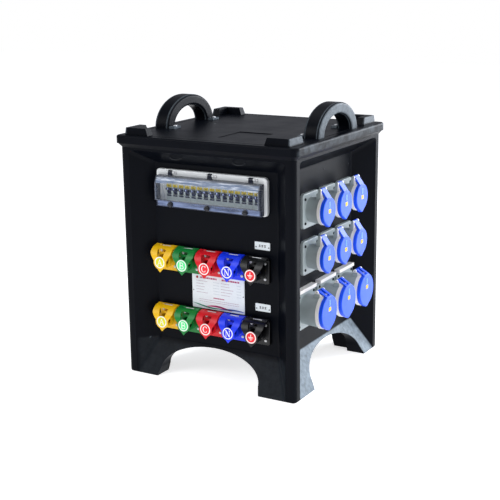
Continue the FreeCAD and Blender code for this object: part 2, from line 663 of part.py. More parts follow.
def din_rail():
    """Top-hat rail with a stand-off to the panel at each end."""
    half = (BREAKERS * BREAKER_PITCH) / 2 + 8
    face, lip = RAIL_H / 2, RAIL_H / 2 - 5
    o0, t = BREAKER_BACK, RAIL_T
    outline = [(o0, face), (o0 - t, face), (o0 - t, lip + t), (o0 - RAIL_DEPTH, lip + t),
               (o0 - RAIL_DEPTH, -lip - t), (o0 - t, -lip - t), (o0 - t, -face), (o0, -face), (o0, -lip),
               (o0 - RAIL_DEPTH + t, -lip),
               (o0 - RAIL_DEPTH + t, lip), (o0, lip)]
    rail = side_profile(outline, -half - STANDOFF, half + STANDOFF)
    posts = []
    for sx in (-1, 1):
        lo, hi = sorted((sx * half, sx * (half + STANDOFF)))
        posts.append(slab(lo, hi, o0, -WALL, -FRAME_H / 2 - 20, -FRAME_H / 2 - 6))
        posts.append(slab(lo, hi, o0 - t, o0, -FRAME_H / 2 - 20, 0))
    return on_front(fuse([rail] + posts), FRONT_X, BREAKER_Z)


# ---------------------------------------------------------------- single-pole connectors

def connector_body():
    flange = plate(FLANGE_W, FLANGE_H, FLANGE_ROUND, 0, FLANGE_T)
    front = [e for e in flange.Edges if all(abs(v.Point.y + FLANGE_T) < 1e-3 for v in e.Vertexes)]
    flange = flange.makeFillet(2.0, front)
    parts = [flange, rod(BARREL_R, FLANGE_T - 1, BARREL_O), rod(SPIGOT_R, SPIGOT_O, 1)]
    o, z, r = VISOR_HINGE_O, VISOR_HINGE_Z, VISOR_EYE_R
    cuts = [rod(BARREL_BORE, 2, BARREL_O + 1), rod(CONTACT_R + 0.3, SPIGOT_O + CONTACT_FLOOR, 3),
            rod(STUD_R + SCREW_FIT, SPIGOT_O - 1, 3)]
    for sx in (-1, 1):
        lo, hi = sorted((sx * EAR_IN, sx * EAR_OUT))
        parts.append(bar_x(r, lo, hi, o, z))
        ear = [(FLANGE_T - 1, z - 9), (FLANGE_T - 1, z - 1), (o, z + r), (o + r, z), (o, z - r - 3)]
        parts.append(side_profile(ear, lo, hi))
    cuts.append(bar_x(PIN_R + PIN_SNUG, -EAR_OUT - 1, EAR_OUT + 1, o, z))
    screws = four(lambda dx, dz: m4(V(dx, -FLANGE_T, dz), (0, 1, 0), WALL + 4, False, SCREW_FIT),
                  CONNECTOR_SCREWS, CONNECTOR_SCREWS)
    return fuse(parts).cut(cuts + screws)


def visor():
    """Curved flip cover: two arms from the hinge, a window between them, a round front with a pointed tab."""
    o, z, t, front = VISOR_HINGE_O, VISOR_HINGE_Z, VISOR_T, VISOR_FRONT_O
    x0 = -VISOR_HALF - 5
    low = VISOR_TIP - 5

    def p(out, up):
        return V(x0, -out, up)

    outer = Part.Arc(p(o, z + 2.6), p(front - 11, z - 6), p(front - 0.7, 4)).toShape()
    inner = Part.Arc(p(front - 0.7 - t, 4), p(front - 13.5, z - 8.3), p(o, z + 2.6 - t)).toShape()
    wire = Part.Wire([outer, Part.makeLine(p(front - 0.7, 4), p(front, low)),
                      Part.makeLine(p(front, low), p(front - t, low)),
                      Part.makeLine(p(front - t, low), p(front - 0.7 - t, 4)), inner,
                      Part.makeLine(p(o, z + 2.6 - t), p(o, z + 2.6))])
    sheet = Part.Face(wire).extrude(V(-2 * x0, 0, 0))

    def q(x, up):
        return V(x, 1, up)

    half, disc, zc = VISOR_HALF, VISOR_DISC_R, -3.0
    edge = 20.0
    start = math.radians(12)
    end = math.radians(-68)
    side_edges = []
    for sx in (1, -1):
        a = q(sx * half, z + 8)
        b = q(sx * half, edge)
        c = q(sx * disc * math.cos(start), zc + disc * math.sin(start))
        d = q(sx * disc * math.cos(end), zc + disc * math.sin(end))
        mid_low = q(sx * disc * math.cos(math.radians(-28)), zc + disc * math.sin(math.radians(-28)))
        tip = q(0, VISOR_TIP)
        bend = q(sx * (half - 6.5), edge - 11)
        side_edges.append([Part.makeLine(a, b), Part.Arc(b, bend, c).toShape(),
                           Part.Arc(c, mid_low, d).toShape(), Part.makeLine(d, tip)])
    top = Part.makeLine(q(half, z + 8), q(-half, z + 8))
    outline = Part.Wire(Part.__sortEdges__(side_edges[0] + side_edges[1] + [top]))
    mask = Part.Face(outline).extrude(V(0, -front - 5, 0))
    cover = sheet.common(mask)
    window = Part.Face(polygon([(x, 5, up) for x, up in VISOR_WINDOW])).extrude(V(0, -front - 10, 0))
    window = window.makeFillet(3.0, [e for e in window.Edges if e.Length > front])
    gap = slab(-EAR_OUT - EAR_GAP, EAR_OUT + EAR_GAP, -1, o + VISOR_EYE_R + 4, z - 12, z + 12)
    cover = cover.cut([window, gap])
    eyes = []
    for sx in (-1, 1):
        lo, hi = sorted((sx * (EAR_OUT + EAR_GAP), sx * half))
        eyes.append(bar_x(VISOR_EYE_R, lo, hi, o, z))
    return fuse([cover] + eyes).cut(bar_x(PIN_R + PIN_RUN, -half - 1, half + 1, o, z))


# ---------------------------------------------------------------- industrial sockets

def socket_body(s):
    parts = [plate(s["w"], s["h"], SOCKET_ROUND, 0, s["t"])]
    front = [e for e in parts[0].Edges if all(abs(v.Point.y + s["t"]) < 1e-3 for v in e.Vertexes)]
    parts[0] = parts[0].makeFillet(2.5, front)
    parts += [cone(s["r0"], s["r1"], s["t"] - 1, s["collar_o"]), rod(s["collar"], s["collar_o"], s["front"]),
              rod(s["spigot"], SOCKET_SPIGOT_O, 1)]
    o, z = s["hinge_o"], s["hinge_z"]
    inside = s["arm"] + LID_EAR_GAP
    for sx in (-1, 1):
        lo, hi = sorted((sx * inside, sx * (inside + LID_EAR_T)))
        foot = [(o - 9, s["r0"] - 12), (s["front"] - 2, s["r0"] - 12), (s["front"] - 2, s["collar"] - 2),
                (o + 3, z), (o - 3, z + 2), (o - 9, s["r1"])]
        parts += [bar_x(LID_EYE_R, lo, hi, o, z), side_profile(foot, lo, hi)]
    if s["split"]:
        w, up, out = HINGE_BAR
        top = s["h"] / 2
        parts.append(slab(-w / 2, w / 2, 0, out, top - 2, top + up - 2))
    hollow = [rod(s["bore"], s["t"] + 2, s["front"] + 1),
              rod(s["carrier"], SOCKET_SPIGOT_O + SOCKET_BACK, s["t"] + 3)]
    hollow.append(bar_x(PIN_R + PIN_SNUG, -inside - LID_EAR_T - 1, inside + LID_EAR_T + 1, o, z))
    screws = four(lambda dx, dz: m4(V(dx, -s["t"], dz), (0, 1, 0), WALL + 4, False, SCREW_FIT),
                  s["sw"], s["sh"])
    return fuse(parts).cut(hollow + screws)


def contact_spots(s):
    spots = []
    for n in range(s["pins"]):
        angle = math.radians(-90 + n * 360 / s["pins"])
        spots.append((s["pin_circle"] * math.cos(angle), s["pin_circle"] * math.sin(angle)))
    return spots


def socket_carrier(s):
    back = SOCKET_SPIGOT_O + SOCKET_BACK
    core = rod(s["carrier"] - 0.05, back, s["carrier_o"])
    return core.cut([rod(s["pin_r"] + 0.8, back + 2, s["carrier_o"] + 1, x, z) for x, z in contact_spots(s)])


def socket_contacts(s):
    back = SOCKET_SPIGOT_O + SOCKET_BACK
    out = []
    for x, z in contact_spots(s):
        tube = rod(s["pin_r"] + 0.75, back + 2, s["carrier_o"] - 2, x, z)
        out.append(tube.cut(rod(s["pin_r"], back + 6, s["carrier_o"] + 1, x, z)))
    return out


def socket_lid(s):
    """Round cap with a pointed lift tip, a raised rim behind, and one or two arms up to the hinge."""
    back = s["front"] + LID_GAP
    face = back + s["lid_t"]
    r = s["lid_r"]
    disc = rod(r, back, face)
    reach = r * math.sin(math.radians(40))
    drop = r * math.cos(math.radians(40))
    tip = Part.Face(polygon([(-reach, -back, -drop), (reach, -back, -drop),
                             (3, -back, -s["tip"]), (-3, -back, -s["tip"])]))
    tip = tip.extrude(V(0, -s["lid_t"], 0))
    cap = fuse([disc, tip])
    front = [e for e in cap.Edges if all(abs(v.Point.y + face) < 1e-3 for v in e.Vertexes)]
    cap = cap.makeFillet(2.2, front)
    cap = cap.cut(rod(r - 4, back - 1, face - LID_SKIN))
    o, z = s["hinge_o"], s["hinge_z"]
    over_collar = s["collar"] + 0.8
    strap = [(o - 2.0, z + 4.0), (o + 3.0, z + LID_EYE_R - 0.6), (face - 1.0, r - 1.0), (face - 1.0, r - 6.0),
             (back + 0.2, r - 6.0), (back + 0.2, over_collar), (o, z - 2.0)]
    arms, eyes = [], []
    spans = [(-s["arm"], s["arm"])] if not s["split"] else [(-s["arm"], -s["split"]), (s["split"], s["arm"])]
    for lo, hi in spans:
        arms.append(side_profile(strap, lo, hi))
        eyes.append(bar_x(LID_EYE_R, lo, hi, o, z))
    whole = fuse([cap] + arms + eyes)
    return whole.cut(bar_x(PIN_R + PIN_RUN, -s["arm"] - 1, s["arm"] + 1, o, z))


# ---------------------------------------------------------------- plates

def label_plates():
    w, h, t = NAMEPLATE
    out = [on_front(plate(w, h, 2.0, 0, t), NAMEPLATE_X, NAMEPLATE_Z)]
    w, h, t = LABEL
    out += [on_front(plate(w, h, 1.5, 0, t), LABEL_X, z) for z in LABEL_ZS]
    return out


def busbars():
    out = []
    for x in CONNECTOR_XS:
        lo, hi = min(CONNECTOR_ROWS) - BAR_OVERRUN, max(CONNECTOR_ROWS) + BAR_OVERRUN
        out.append(on_front(slab(-BAR_W / 2, BAR_W / 2, SPIGOT_O - 6 - BAR_T, SPIGOT_O - 6, lo, hi), x, 0))
    return out


# ---------------------------------------------------------------- the assembly

def main():
    os.makedirs("parts", exist_ok=True)
    nodes, joints = {}, []

    def add(name, shapes):
        nodes[name] = shapes if isinstance(shapes, list) else [shapes]

    def hinge(name, child, parent, pos, axis, limits, sprung=False):
        joints.append(dict(name=name, child=child, parent=parent, pos=[pos[0] - ORIGIN_X, pos[1], pos[2]],
                           axis=axis, range=limits, sprung=sprung))

    add("housing", housing())
    add("bottom_plate", bottom_plate())
    add("m6_screws", m6_screws())
    add("m4_screws", m4_screws())
    add("handle_left", handle(-1))
    add("handle_right", handle(1))
    add("window_frame", window_frame())
    add("din_rail", din_rail())
    body = breaker_body()
    add("breaker_bodies", [on_front(body, x, BREAKER_Z) for x in BREAKER_XS])
    add("label_plates", label_plates())
    add("busbars", busbars())

    reach = KNUCKLE_W / 2 + 5
    pins = [on_front(bar_x(PIN_R, -reach, reach, WINDOW_HINGE_O, WINDOW_HINGE_Z), FRONT_X + x, 0)
            for x in WINDOW_HINGES]

    add("window_cover", window_cover())
    hinge("window_hinge", "window_cover", "root", (FRONT_X, FRONT_Y - WINDOW_HINGE_O, WINDOW_HINGE_Z),
          (-1, 0, 0), (0, WINDOW_SWING))
    for n, x in enumerate(LATCHES, 1):
        add(f"window_latch_{n}", latch(x))
        hinge(f"latch_{n}_turn", f"window_latch_{n}", "window_cover",
              (FRONT_X + x, FRONT_Y - COVER_RIM_O, LATCH_Z), (0, -1, 0), (0, LATCH_TURN))

    switch = toggle()
    for n, x in enumerate(BREAKER_XS, 1):
        add(f"toggle_{n:02d}", on_front(switch, x, BREAKER_Z))
        hinge(f"toggle_{n:02d}_throw", f"toggle_{n:02d}", "root", (x, FRONT_Y - TOGGLE_O, BREAKER_Z),
              (1, 0, 0), (0, 2 * TOGGLE_REST))

    body, cover = connector_body(), visor()
    contact = fuse([rod(CONTACT_R, SPIGOT_O + CONTACT_FLOOR, CONTACT_O), rod(STUD_R, SPIGOT_O - 6, 0)])
    contacts = []
    for x, colour in zip(CONNECTOR_XS, CONNECTOR_COLOURS):
        add(f"connector_bodies_{colour}", [on_front(body, x, z) for z in CONNECTOR_ROWS])
        for row, z in zip(("upper", "lower"), CONNECTOR_ROWS):
            contacts.append(on_front(contact, x, z))
            pins.append(on_front(bar_x(PIN_R, -VISOR_HALF, VISOR_HALF, VISOR_HINGE_O, VISOR_HINGE_Z), x, z))
            add(f"cover_{row}_{colour}", on_front(cover, x, z))
            hinge(f"cover_{row}_{colour}_flip", f"cover_{row}_{colour}", "root",
                  (x, FRONT_Y - VISOR_HINGE_O, z + VISOR_HINGE_Z), (-1, 0, 0), (0, VISOR_SWING), True)
    add("connector_contacts", contacts)

    carriers, brass = [], []
    bodies = {"16a": [], "32a": []}
    made = {}
    for s in (SOCKET_16, SOCKET_32):
        made[s["name"]] = (socket_body(s), socket_carrier(s), socket_contacts(s), socket_lid(s))
    count = {"16a": 0, "32a": 0}
    for s, y, z in sockets():
        name = s["name"]
        count[name] += 1
        body, carrier, tubes, lid = made[name]
        bodies[name].append(on_right(body, y, z))
        carriers.append(on_right(carrier, y, z))
        brass += [on_right(tube, y, z) for tube in tubes]
        reach = s["arm"] + LID_EAR_GAP + LID_EAR_T
        pins.append(on_right(bar_x(PIN_R, -reach, reach, s["hinge_o"], s["hinge_z"]), y, z))
        node = f"lid_{name}_{count[name]}"
        add(node, on_right(lid, y, z))
        top = UNDER_LID_SWING if z == SOCKET_16["rows"][1] else LID_SWING
        hinge(f"{node}_flip", node, "root", (RIGHT_X + s["hinge_o"], y, z + s["hinge_z"]),
              (0, -1, 0), (0, top), True)
    add("socket_bodies_16a", bodies["16a"])
    add("socket_bodies_32a", bodies["32a"])
    add("socket_carriers", carriers)
    add("socket_contacts", brass)
    add("hinge_pins", pins)

    for name, shapes in nodes.items():
        solids = [solid for shape in shapes for solid in shape.Solids]
        whole = solids[0] if len(solids) == 1 else Part.makeCompound(solids)
        whole.translate(V(-ORIGIN_X, 0, 0))
        whole.exportStep(f"parts/{name}.step")
    print(json.dumps(dict(nodes={k: sum(len(s.Solids) for s in v) for k, v in nodes.items()}, joints=joints,
                          origin_x=ORIGIN_X)))


main()
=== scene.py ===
import json
import math

import bpy
import numpy as np
from bpy.props import FloatProperty, FloatVectorProperty, PointerProperty
from mathutils import Euler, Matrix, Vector


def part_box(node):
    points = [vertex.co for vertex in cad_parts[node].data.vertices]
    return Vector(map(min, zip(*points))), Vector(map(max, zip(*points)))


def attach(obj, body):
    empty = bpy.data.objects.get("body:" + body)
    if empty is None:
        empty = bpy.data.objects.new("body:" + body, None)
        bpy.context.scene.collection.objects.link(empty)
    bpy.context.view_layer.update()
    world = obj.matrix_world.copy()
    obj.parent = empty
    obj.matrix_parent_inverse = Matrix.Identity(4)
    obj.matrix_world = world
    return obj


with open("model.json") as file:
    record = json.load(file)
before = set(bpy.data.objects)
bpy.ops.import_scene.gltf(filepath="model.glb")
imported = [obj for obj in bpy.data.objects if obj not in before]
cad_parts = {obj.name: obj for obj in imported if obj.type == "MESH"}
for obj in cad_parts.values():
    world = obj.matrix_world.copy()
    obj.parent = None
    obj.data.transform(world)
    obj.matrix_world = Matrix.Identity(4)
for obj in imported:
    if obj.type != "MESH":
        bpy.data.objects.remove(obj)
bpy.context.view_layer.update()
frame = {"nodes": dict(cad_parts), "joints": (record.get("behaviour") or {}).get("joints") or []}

bl_info = {
    "name": "Portable power distribution box",
    "version": (1, 0, 0),
    "blender": (4, 5, 0),
    "location": "3D View > Sidebar > Power box",
    "description": "Finishes, printed details and studio for a rubber power box with breakers and sockets",
    "category": "Object",
}

MM = 0.001
COLOURS = ("yellow", "green", "red", "blue", "black")
ROWS = ("upper", "lower")
SMALL_SOCKETS = range(1, 7)
LARGE_SOCKETS = range(1, 4)
SMALL_REACH, LARGE_REACH = 48, 63   # how far the sockets stand off the right panel, in millimetres
SMALL_DROP, LARGE_DROP = 51.0, 50.5   # from a lid's hinge down to the middle of its face, in millimetres
LARGE_FLANGE = 98                   # side of a large socket's square flange, in millimetres


# ---------------------------------------------------------------- colours and nodes

def linear(hex_code):
    """Linear colour with full opacity from an sRGB hex value."""
    srgb = np.array([int(hex_code[n:n + 2], 16) for n in (1, 3, 5)]) / 255
    flat = np.where(srgb <= 0.04045, srgb / 12.92, ((srgb + 0.055) / 1.055) ** 2.4)
    return (*[float(v) for v in flat], 1.0)


def wire(tree, node, sockets):
    """Sets a node's inputs by name or number, or links them where the value is another node's output."""
    for key, value in sockets.items():
        if isinstance(value, bpy.types.NodeSocket):
            tree.links.new(value, node.inputs[key])
        else:
            node.inputs[key].default_value = value


def add(tree, kind, sockets=(), out=0, **settings):
    """Adds a shader node of a kind with its settings and inputs and returns one of its outputs."""
    node = tree.nodes.new("ShaderNode" + kind)
    for key, value in settings.items():
        setattr(node, key, value)
    wire(tree, node, dict(sockets))
    return node.outputs[out]


# Settings that many nodes share: colour mixing, and the sums that a maths node does.
MIXED = {"out": 2, "data_type": "RGBA"}
TIMES = {"operation": "MULTIPLY"}
LESS = {"operation": "SUBTRACT"}
LARGEST = {"operation": "MAXIMUM"}
UNSIGNED = {"operation": "ABSOLUTE"}


def finish(name):
    """A new material with its node tree, its shader and the piece's own coordinates in metres."""
    material = bpy.data.materials.new(name)
    material.use_nodes = True
    tree = material.node_tree
    return material, tree, tree.nodes["Principled BSDF"], add(tree, "TexCoord", out="Object")


def per_mm(size):
    """Scale of a noise whose patches are about size millimetres across."""
    return 1 / (size * MM)


def places(tree, *masks):
    """Where a finish applies: the largest of several masks. Each mask is a strength times its edges, and an
    edge runs from 0 where a coordinate is at its start to 1 where it is at its end, both in millimetres."""
    whole = 0.0
    for strength, *edges in masks:
        amount = strength
        for coordinate, start, end in edges:
            edge = add(tree, "MapRange", {0: coordinate, 1: start * MM, 2: end * MM})
            amount = add(tree, "Math", {0: amount, 1: edge}, **TIMES)
        whole = add(tree, "Math", {0: whole, 1: amount}, **LARGEST)
    return whole


def grain(tree, place, size_mm, depth_mm):
    """Fine moulded texture as a surface normal."""
    height = add(tree, "TexNoise", {"Vector": place, "Scale": per_mm(size_mm), "Roughness": 0.55})
    return add(tree, "Bump", {"Height": height, "Strength": 0.6, "Distance": depth_mm * MM})


def middle(node):
    """Middle of a CAD node's box."""
    low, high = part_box(node)
    return (low + high) / 2


def from_middle(tree, place, node):
    """Distances from the middle of a CAD node, across and front to back, both ways alike, and the height
    above the floor."""
    moved = add(tree, "VectorMath", {0: place, 1: tuple(middle(node))}, **LESS)
    across = add(tree, "Math", {0: add(tree, "SeparateXYZ", {0: moved})}, **UNSIGNED)
    along = add(tree, "Math", {0: add(tree, "SeparateXYZ", {0: moved}, out=1)}, **UNSIGNED)
    return across, along, add(tree, "SeparateXYZ", {0: place}, out=2)


def dress(names, material):
    """Gives CAD nodes a finish."""
    for name in names:
        mesh = frame["nodes"][name].data
        mesh.materials.clear()
        mesh.materials.append(material)


def right_panel():
    """Where the face of the right panel is, across the box."""
    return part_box("socket_bodies_32a")[1].x - LARGE_REACH * MM


def joint_place(name):
    """Where a joint's axis is, in the row frame."""
    for joint in frame["joints"]:
        if joint["name"] == name:
            return Vector(joint["pos_m"])
    raise RuntimeError(f"the packed record has no joint {name}")


# ---------------------------------------------------------------- surfaces
# Printed and applied pieces are made in a face's own frame: across, up and out, right-handed, in metres.

def skin(rows, wrap_rows=False):
    """Closed surface over a grid: each row is a closed loop, and the first and last rows end in a fan to
    their middle, or join each other when wrap_rows is set."""
    count, around = rows.shape[:2]
    index = np.arange(count * around).reshape(count, around)
    if wrap_rows:
        index = np.vstack([index, index[:1]])
    here, after = index[:-1], np.roll(index, -1, axis=1)[:-1]
    above, above_after = index[1:], np.roll(index, -1, axis=1)[1:]
    faces = np.stack([here, after, above_after, above], -1).reshape(-1, 4).tolist()
    points = rows.reshape(-1, 3)
    if not wrap_rows:
        points = np.vstack([points, rows[0].mean(0), rows[-1].mean(0)])
        start, end = count * around, count * around + 1
        low, high = index[0], index[-1]
        faces += np.stack([np.full(around, start), np.roll(low, -1), low], -1).tolist()
        faces += np.stack([np.full(around, end), high, np.roll(high, -1)], -1).tolist()
    return points, faces


def rounded_loop(half_w, half_h, corner, steps=6):
    """Rectangle with quarter-circle corners, counter-clockwise: corner centre plus radius times the angle's
    cosine and sine, over the four quarters in turn."""
    turn = np.linspace(0, math.pi / 2, steps)
    loop = []
    for quarter, (sx, sy) in enumerate(((1, 1), (-1, 1), (-1, -1), (1, -1))):
        angle = turn + quarter * math.pi / 2
        loop.append(np.stack([sx * (half_w - corner) + corner * np.cos(angle),
                              sy * (half_h - corner) + corner * np.sin(angle)], -1))
    return np.vstack(loop)


def plaque(width, height, corner, thick, soft, steps=6):
    """Solid rounded plate: its outline carried from the back up the edge, then inwards along a quarter
    circle of radius soft."""
    turn = np.linspace(0, math.pi / 2, 4)
    inset = np.concatenate([[0], soft * (1 - np.cos(turn))])
    out = np.concatenate([[0], thick - soft + soft * np.sin(turn)])
    rows = []
    for shrink, level in zip(inset, out):
        tight = max(corner - shrink, corner * 0.3)
        loop = rounded_loop(width / 2 - shrink, height / 2 - shrink, tight, steps)
        rows.append(np.column_stack([loop, np.full(len(loop), level)]))
    return skin(np.array(rows))


def disc(radius, thick, soft):
    """Round plate: a plaque whose corners meet."""
    return plaque(2 * radius, 2 * radius, radius - 1e-6, thick, soft, 12)


def stroke(path, width, low, high, closed=False):
    """Flat line of ink: a rectangle of the given width, from low to high outwards, carried along a path with
    its sides at right angles to it."""
    path = np.asarray(path, float)
    ahead = np.roll(path, -1, 0) - np.roll(path, 1, 0)
    if not closed:
        ahead[0] = path[1] - path[0]
        ahead[-1] = path[-1] - path[-2]
    ahead /= np.linalg.norm(ahead, axis=1)[:, None]
    half = np.broadcast_to(np.asarray(width, float) / 2, len(path))[:, None]
    side = np.column_stack([-ahead[:, 1], ahead[:, 0]]) * half
    corners = [(path + side, low), (path + side, high), (path - side, high), (path - side, low)]
    rows = np.stack([np.column_stack([flat, np.full(len(path), level)]) for flat, level in corners], 1)
    return skin(rows, wrap_rows=closed)


def circle_path(radius, count=40):
    """Points round a circle."""
    angle = np.arange(count) * 2 * math.pi / count
    return np.column_stack([radius * np.cos(angle), radius * np.sin(angle)])


def arc_path(centre, across, up, start, end, count=16):
    """Points along part of an ellipse, angles in degrees."""
    angle = np.radians(np.linspace(start, end, count))
    return np.column_stack([centre[0] + across * np.cos(angle), centre[1] + up * np.sin(angle)])


def moved(part, across=0.0, up=0.0, out=0.0, scale=1.0):
    """A part shifted, and scaled in its plane, in the face's frame."""
    points, faces = part
    return points * (scale, scale, 1) + (across, up, out), faces


def to_front(points, at):
    """Face frame to the front: across is +X, up is +Z and out is -Y."""
    return np.column_stack([at[0] + points[:, 0], at[1] - points[:, 2], at[2] + points[:, 1]])


def to_right(points, at):
    """Face frame to the right side: across is +Y, up is +Z and out is +X."""
    return np.column_stack([at[0] + points[:, 2], at[1] + points[:, 0], at[2] + points[:, 1]])


def piece(name, layers, place, at, body, smooth=True):
    """One object from layers of (parts, material), set on a face and riding on a body."""
    points, faces, inks = [], [], []
    mesh = bpy.data.meshes.new(name)
    start = 0
    for number, (parts, material) in enumerate(layers):
        mesh.materials.append(material)
        for part_points, part_faces in parts:
            points.append(part_points)
            faces += [[v + start for v in face] for face in part_faces]
            inks += [number] * len(part_faces)
            start += len(part_points)
    mesh.from_pydata(place(np.vstack(points), at).tolist(), [], faces)
    mesh.polygons.foreach_set("material_index", inks)
    mesh.update()
    if smooth:
        mesh.shade_smooth()
        mesh.set_sharp_from_angle(angle=math.radians(35))
    thing = bpy.data.objects.new(name, mesh)
    bpy.context.scene.collection.objects.link(thing)
    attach(thing, body)
    return thing


# ---------------------------------------------------------------- settings

class BoxColours(bpy.types.PropertyGroup):
    """Colours of the box."""
    rubber: FloatVectorProperty(name="Rubber", description="Housing and handles", subtype="COLOR", size=4,
                                default=linear("#03050a"))
    # Chalky grey: worn rubber, and also the painted highlight on the skirts, pads and handle faces that face
    # the light on the right.
    scuff_and_highlight: FloatVectorProperty(name="Worn rubber and painted highlight", description="Chalky rubber where rubbed, and painted highlight where the light falls",
                              subtype="COLOR", size=4, default=linear("#9fadb8"))
    white: FloatVectorProperty(name="White plastic", description="Window frame", subtype="COLOR", size=4,
                               default=linear("#eef1f2"))
    breaker: FloatVectorProperty(name="Breaker", description="Breaker bodies", subtype="COLOR", size=4,
                                 default=linear("#c3cfce"))
    clear: FloatVectorProperty(name="Clear plastic", description="Tint of the window cover", subtype="COLOR",
                               size=4, default=linear("#c8d6f0"))
    toggle: FloatVectorProperty(name="Toggle", description="Breaker toggles", subtype="COLOR", size=4,
                                default=linear("#0b1440"))
    yellow: FloatVectorProperty(name="Yellow connector", description="First phase", subtype="COLOR", size=4,
                                default=linear("#f7c20e"))
    green: FloatVectorProperty(name="Green connector", description="Second phase", subtype="COLOR", size=4,
                               default=linear("#0c8236"))
    red: FloatVectorProperty(name="Red connector", description="Third phase", subtype="COLOR", size=4,
                             default=linear("#dc1222"))
    blue: FloatVectorProperty(name="Blue connector", description="Neutral", subtype="COLOR", size=4,
                              default=linear("#1038f5"))
    black: FloatVectorProperty(name="Black connector", description="Earth", subtype="COLOR", size=4,
                               default=linear("#07080b"))
    socket: FloatVectorProperty(name="Socket grey", description="Socket bodies", subtype="COLOR", size=4,
                                default=linear("#a9b4b6"))
    collar: FloatVectorProperty(name="Collar", description="Light collar behind each lid", subtype="COLOR",
                                size=4, default=linear("#f1edea"))
    lid: FloatVectorProperty(name="Lid blue", description="Socket lids", subtype="COLOR", size=4,
                             default=linear("#1656f2"))
    label: FloatVectorProperty(name="Label yellow", description="Labels on lids and breakers",
                               subtype="COLOR", size=4, default=linear("#e0c60c"))


class BoxSizes(bpy.types.PropertyGroup):
    """Sizes of the applied pieces."""
    badge: FloatProperty(name="Badge", description="Diameter of a phase badge", unit="LENGTH",
                         default=30 * MM)
    badge_ring: FloatProperty(name="Badge ring", description="Width of its white ring", unit="LENGTH",
                              default=2.6 * MM)
    badge_thick: FloatProperty(name="Badge thickness", description="How far a badge stands out",
                               unit="LENGTH", default=0.6 * MM)
    letter: FloatProperty(name="Letter", description="Height of a badge's letter", unit="LENGTH",
                          default=16 * MM)
    tag_width: FloatProperty(name="Breaker label", description="Width of a breaker's label", unit="LENGTH",
                             default=14 * MM)
    tag_height: FloatProperty(name="Breaker label height", description="Height of a breaker's label",
                              unit="LENGTH", default=10 * MM)
    lid_label: FloatProperty(name="Lid label", description="Width of the label on a lid", unit="LENGTH",
                             default=13 * MM)
    print_thick: FloatProperty(name="Print", description="Thickness of printed ink", unit="LENGTH",
                               default=0.12 * MM)
    gasket: FloatProperty(name="Gasket", description="How far a socket's gasket shows round its flange",
                          unit="LENGTH", default=3.0 * MM)


class BoxStudio(bpy.types.PropertyGroup):
    """Lights, floor and camera."""
    side: FloatProperty(name="Side light", description="Power from the right", unit="POWER", default=19.0)
    rim: FloatProperty(name="Back light", description="Power from behind on the right", unit="POWER",
                       default=95.0)
    fill: FloatProperty(name="Fill light", description="Power from the front left, above", unit="POWER",
                        default=34.0)
    top: FloatProperty(name="Top light", description="Power from overhead", unit="POWER", default=40.0)
    sky: FloatProperty(name="Room", description="Brightness of the room", default=0.4)
    glow: FloatProperty(name="Floor glow", description="Light that the floor gives off", default=0.68)
    floor: FloatVectorProperty(name="Floor", description="Floor colour", subtype="COLOR", size=4,
                               default=linear("#f6f6f5"))
    lens: FloatProperty(name="Lens", description="Focal length in millimetres", default=77.76)
    azimuth: FloatProperty(name="Azimuth", description="Where the camera stands round the box",
                           subtype="ANGLE", default=math.radians(30.36))
    elevation: FloatProperty(name="Elevation", description="How far the camera looks down", subtype="ANGLE",
                             default=math.radians(14.44))
    roll: FloatProperty(name="Roll", description="Tilt of the camera", subtype="ANGLE",
                        default=math.radians(-0.745))
    stand: FloatVectorProperty(name="Camera", description="Where the camera stands", subtype="TRANSLATION",
                               size=3, default=(1.3682, -2.3736, 1.0056))


def colours():
    """The box's colours as they are set now."""
    return bpy.context.scene.box_colours


def sizes():
    """The applied pieces' sizes as they are set now."""
    return bpy.context.scene.box_sizes


def studio():
    """The lights, floor and camera as they are set now."""
    return bpy.context.scene.box_studio


# ---------------------------------------------------------------- finishes

def rubber(name, scuff_and_highlight_amount):
    """Moulded rubber: deep blue-black, half dull, with a fine pebbled skin, cloudy wear in its sheen and
    chalky grey where scuff_and_highlight_amount says, partly wear and partly painted highlight."""
    material, tree, shader, place = finish(name)
    clouds = add(tree, "TexNoise", {"Vector": place, "Scale": per_mm(70), "Detail": 4.0, "Roughness": 0.55})
    spots = add(tree, "TexNoise", {"Vector": place, "Scale": per_mm(14), "Detail": 5.0, "Roughness": 0.65})
    spotted = add(tree, "MapRange", {0: spots, 1: 0.32, 2: 0.62, 3: 0.55, 4: 1.0})
    # The grey mixed in below is partly worn rubber and partly painted highlight, as the mask says.
    amount = add(tree, "Math", {0: scuff_and_highlight_amount(tree, place), 1: spotted}, **TIMES)
    dark = add(tree, "Mix", {0: clouds, 6: colours().rubber, 7: linear("#080b13")}, **MIXED)
    wire(tree, shader, {
        "Base Color": add(tree, "Mix", {0: amount, 6: dark, 7: colours().scuff_and_highlight}, **MIXED),
        "Roughness": add(tree, "MapRange", {0: clouds, 3: 0.26, 4: 0.44}),
        "Specular IOR Level": 0.06, "IOR": 1.5, "Normal": grain(tree, place, 1.8, 0.12),
    })
    return material


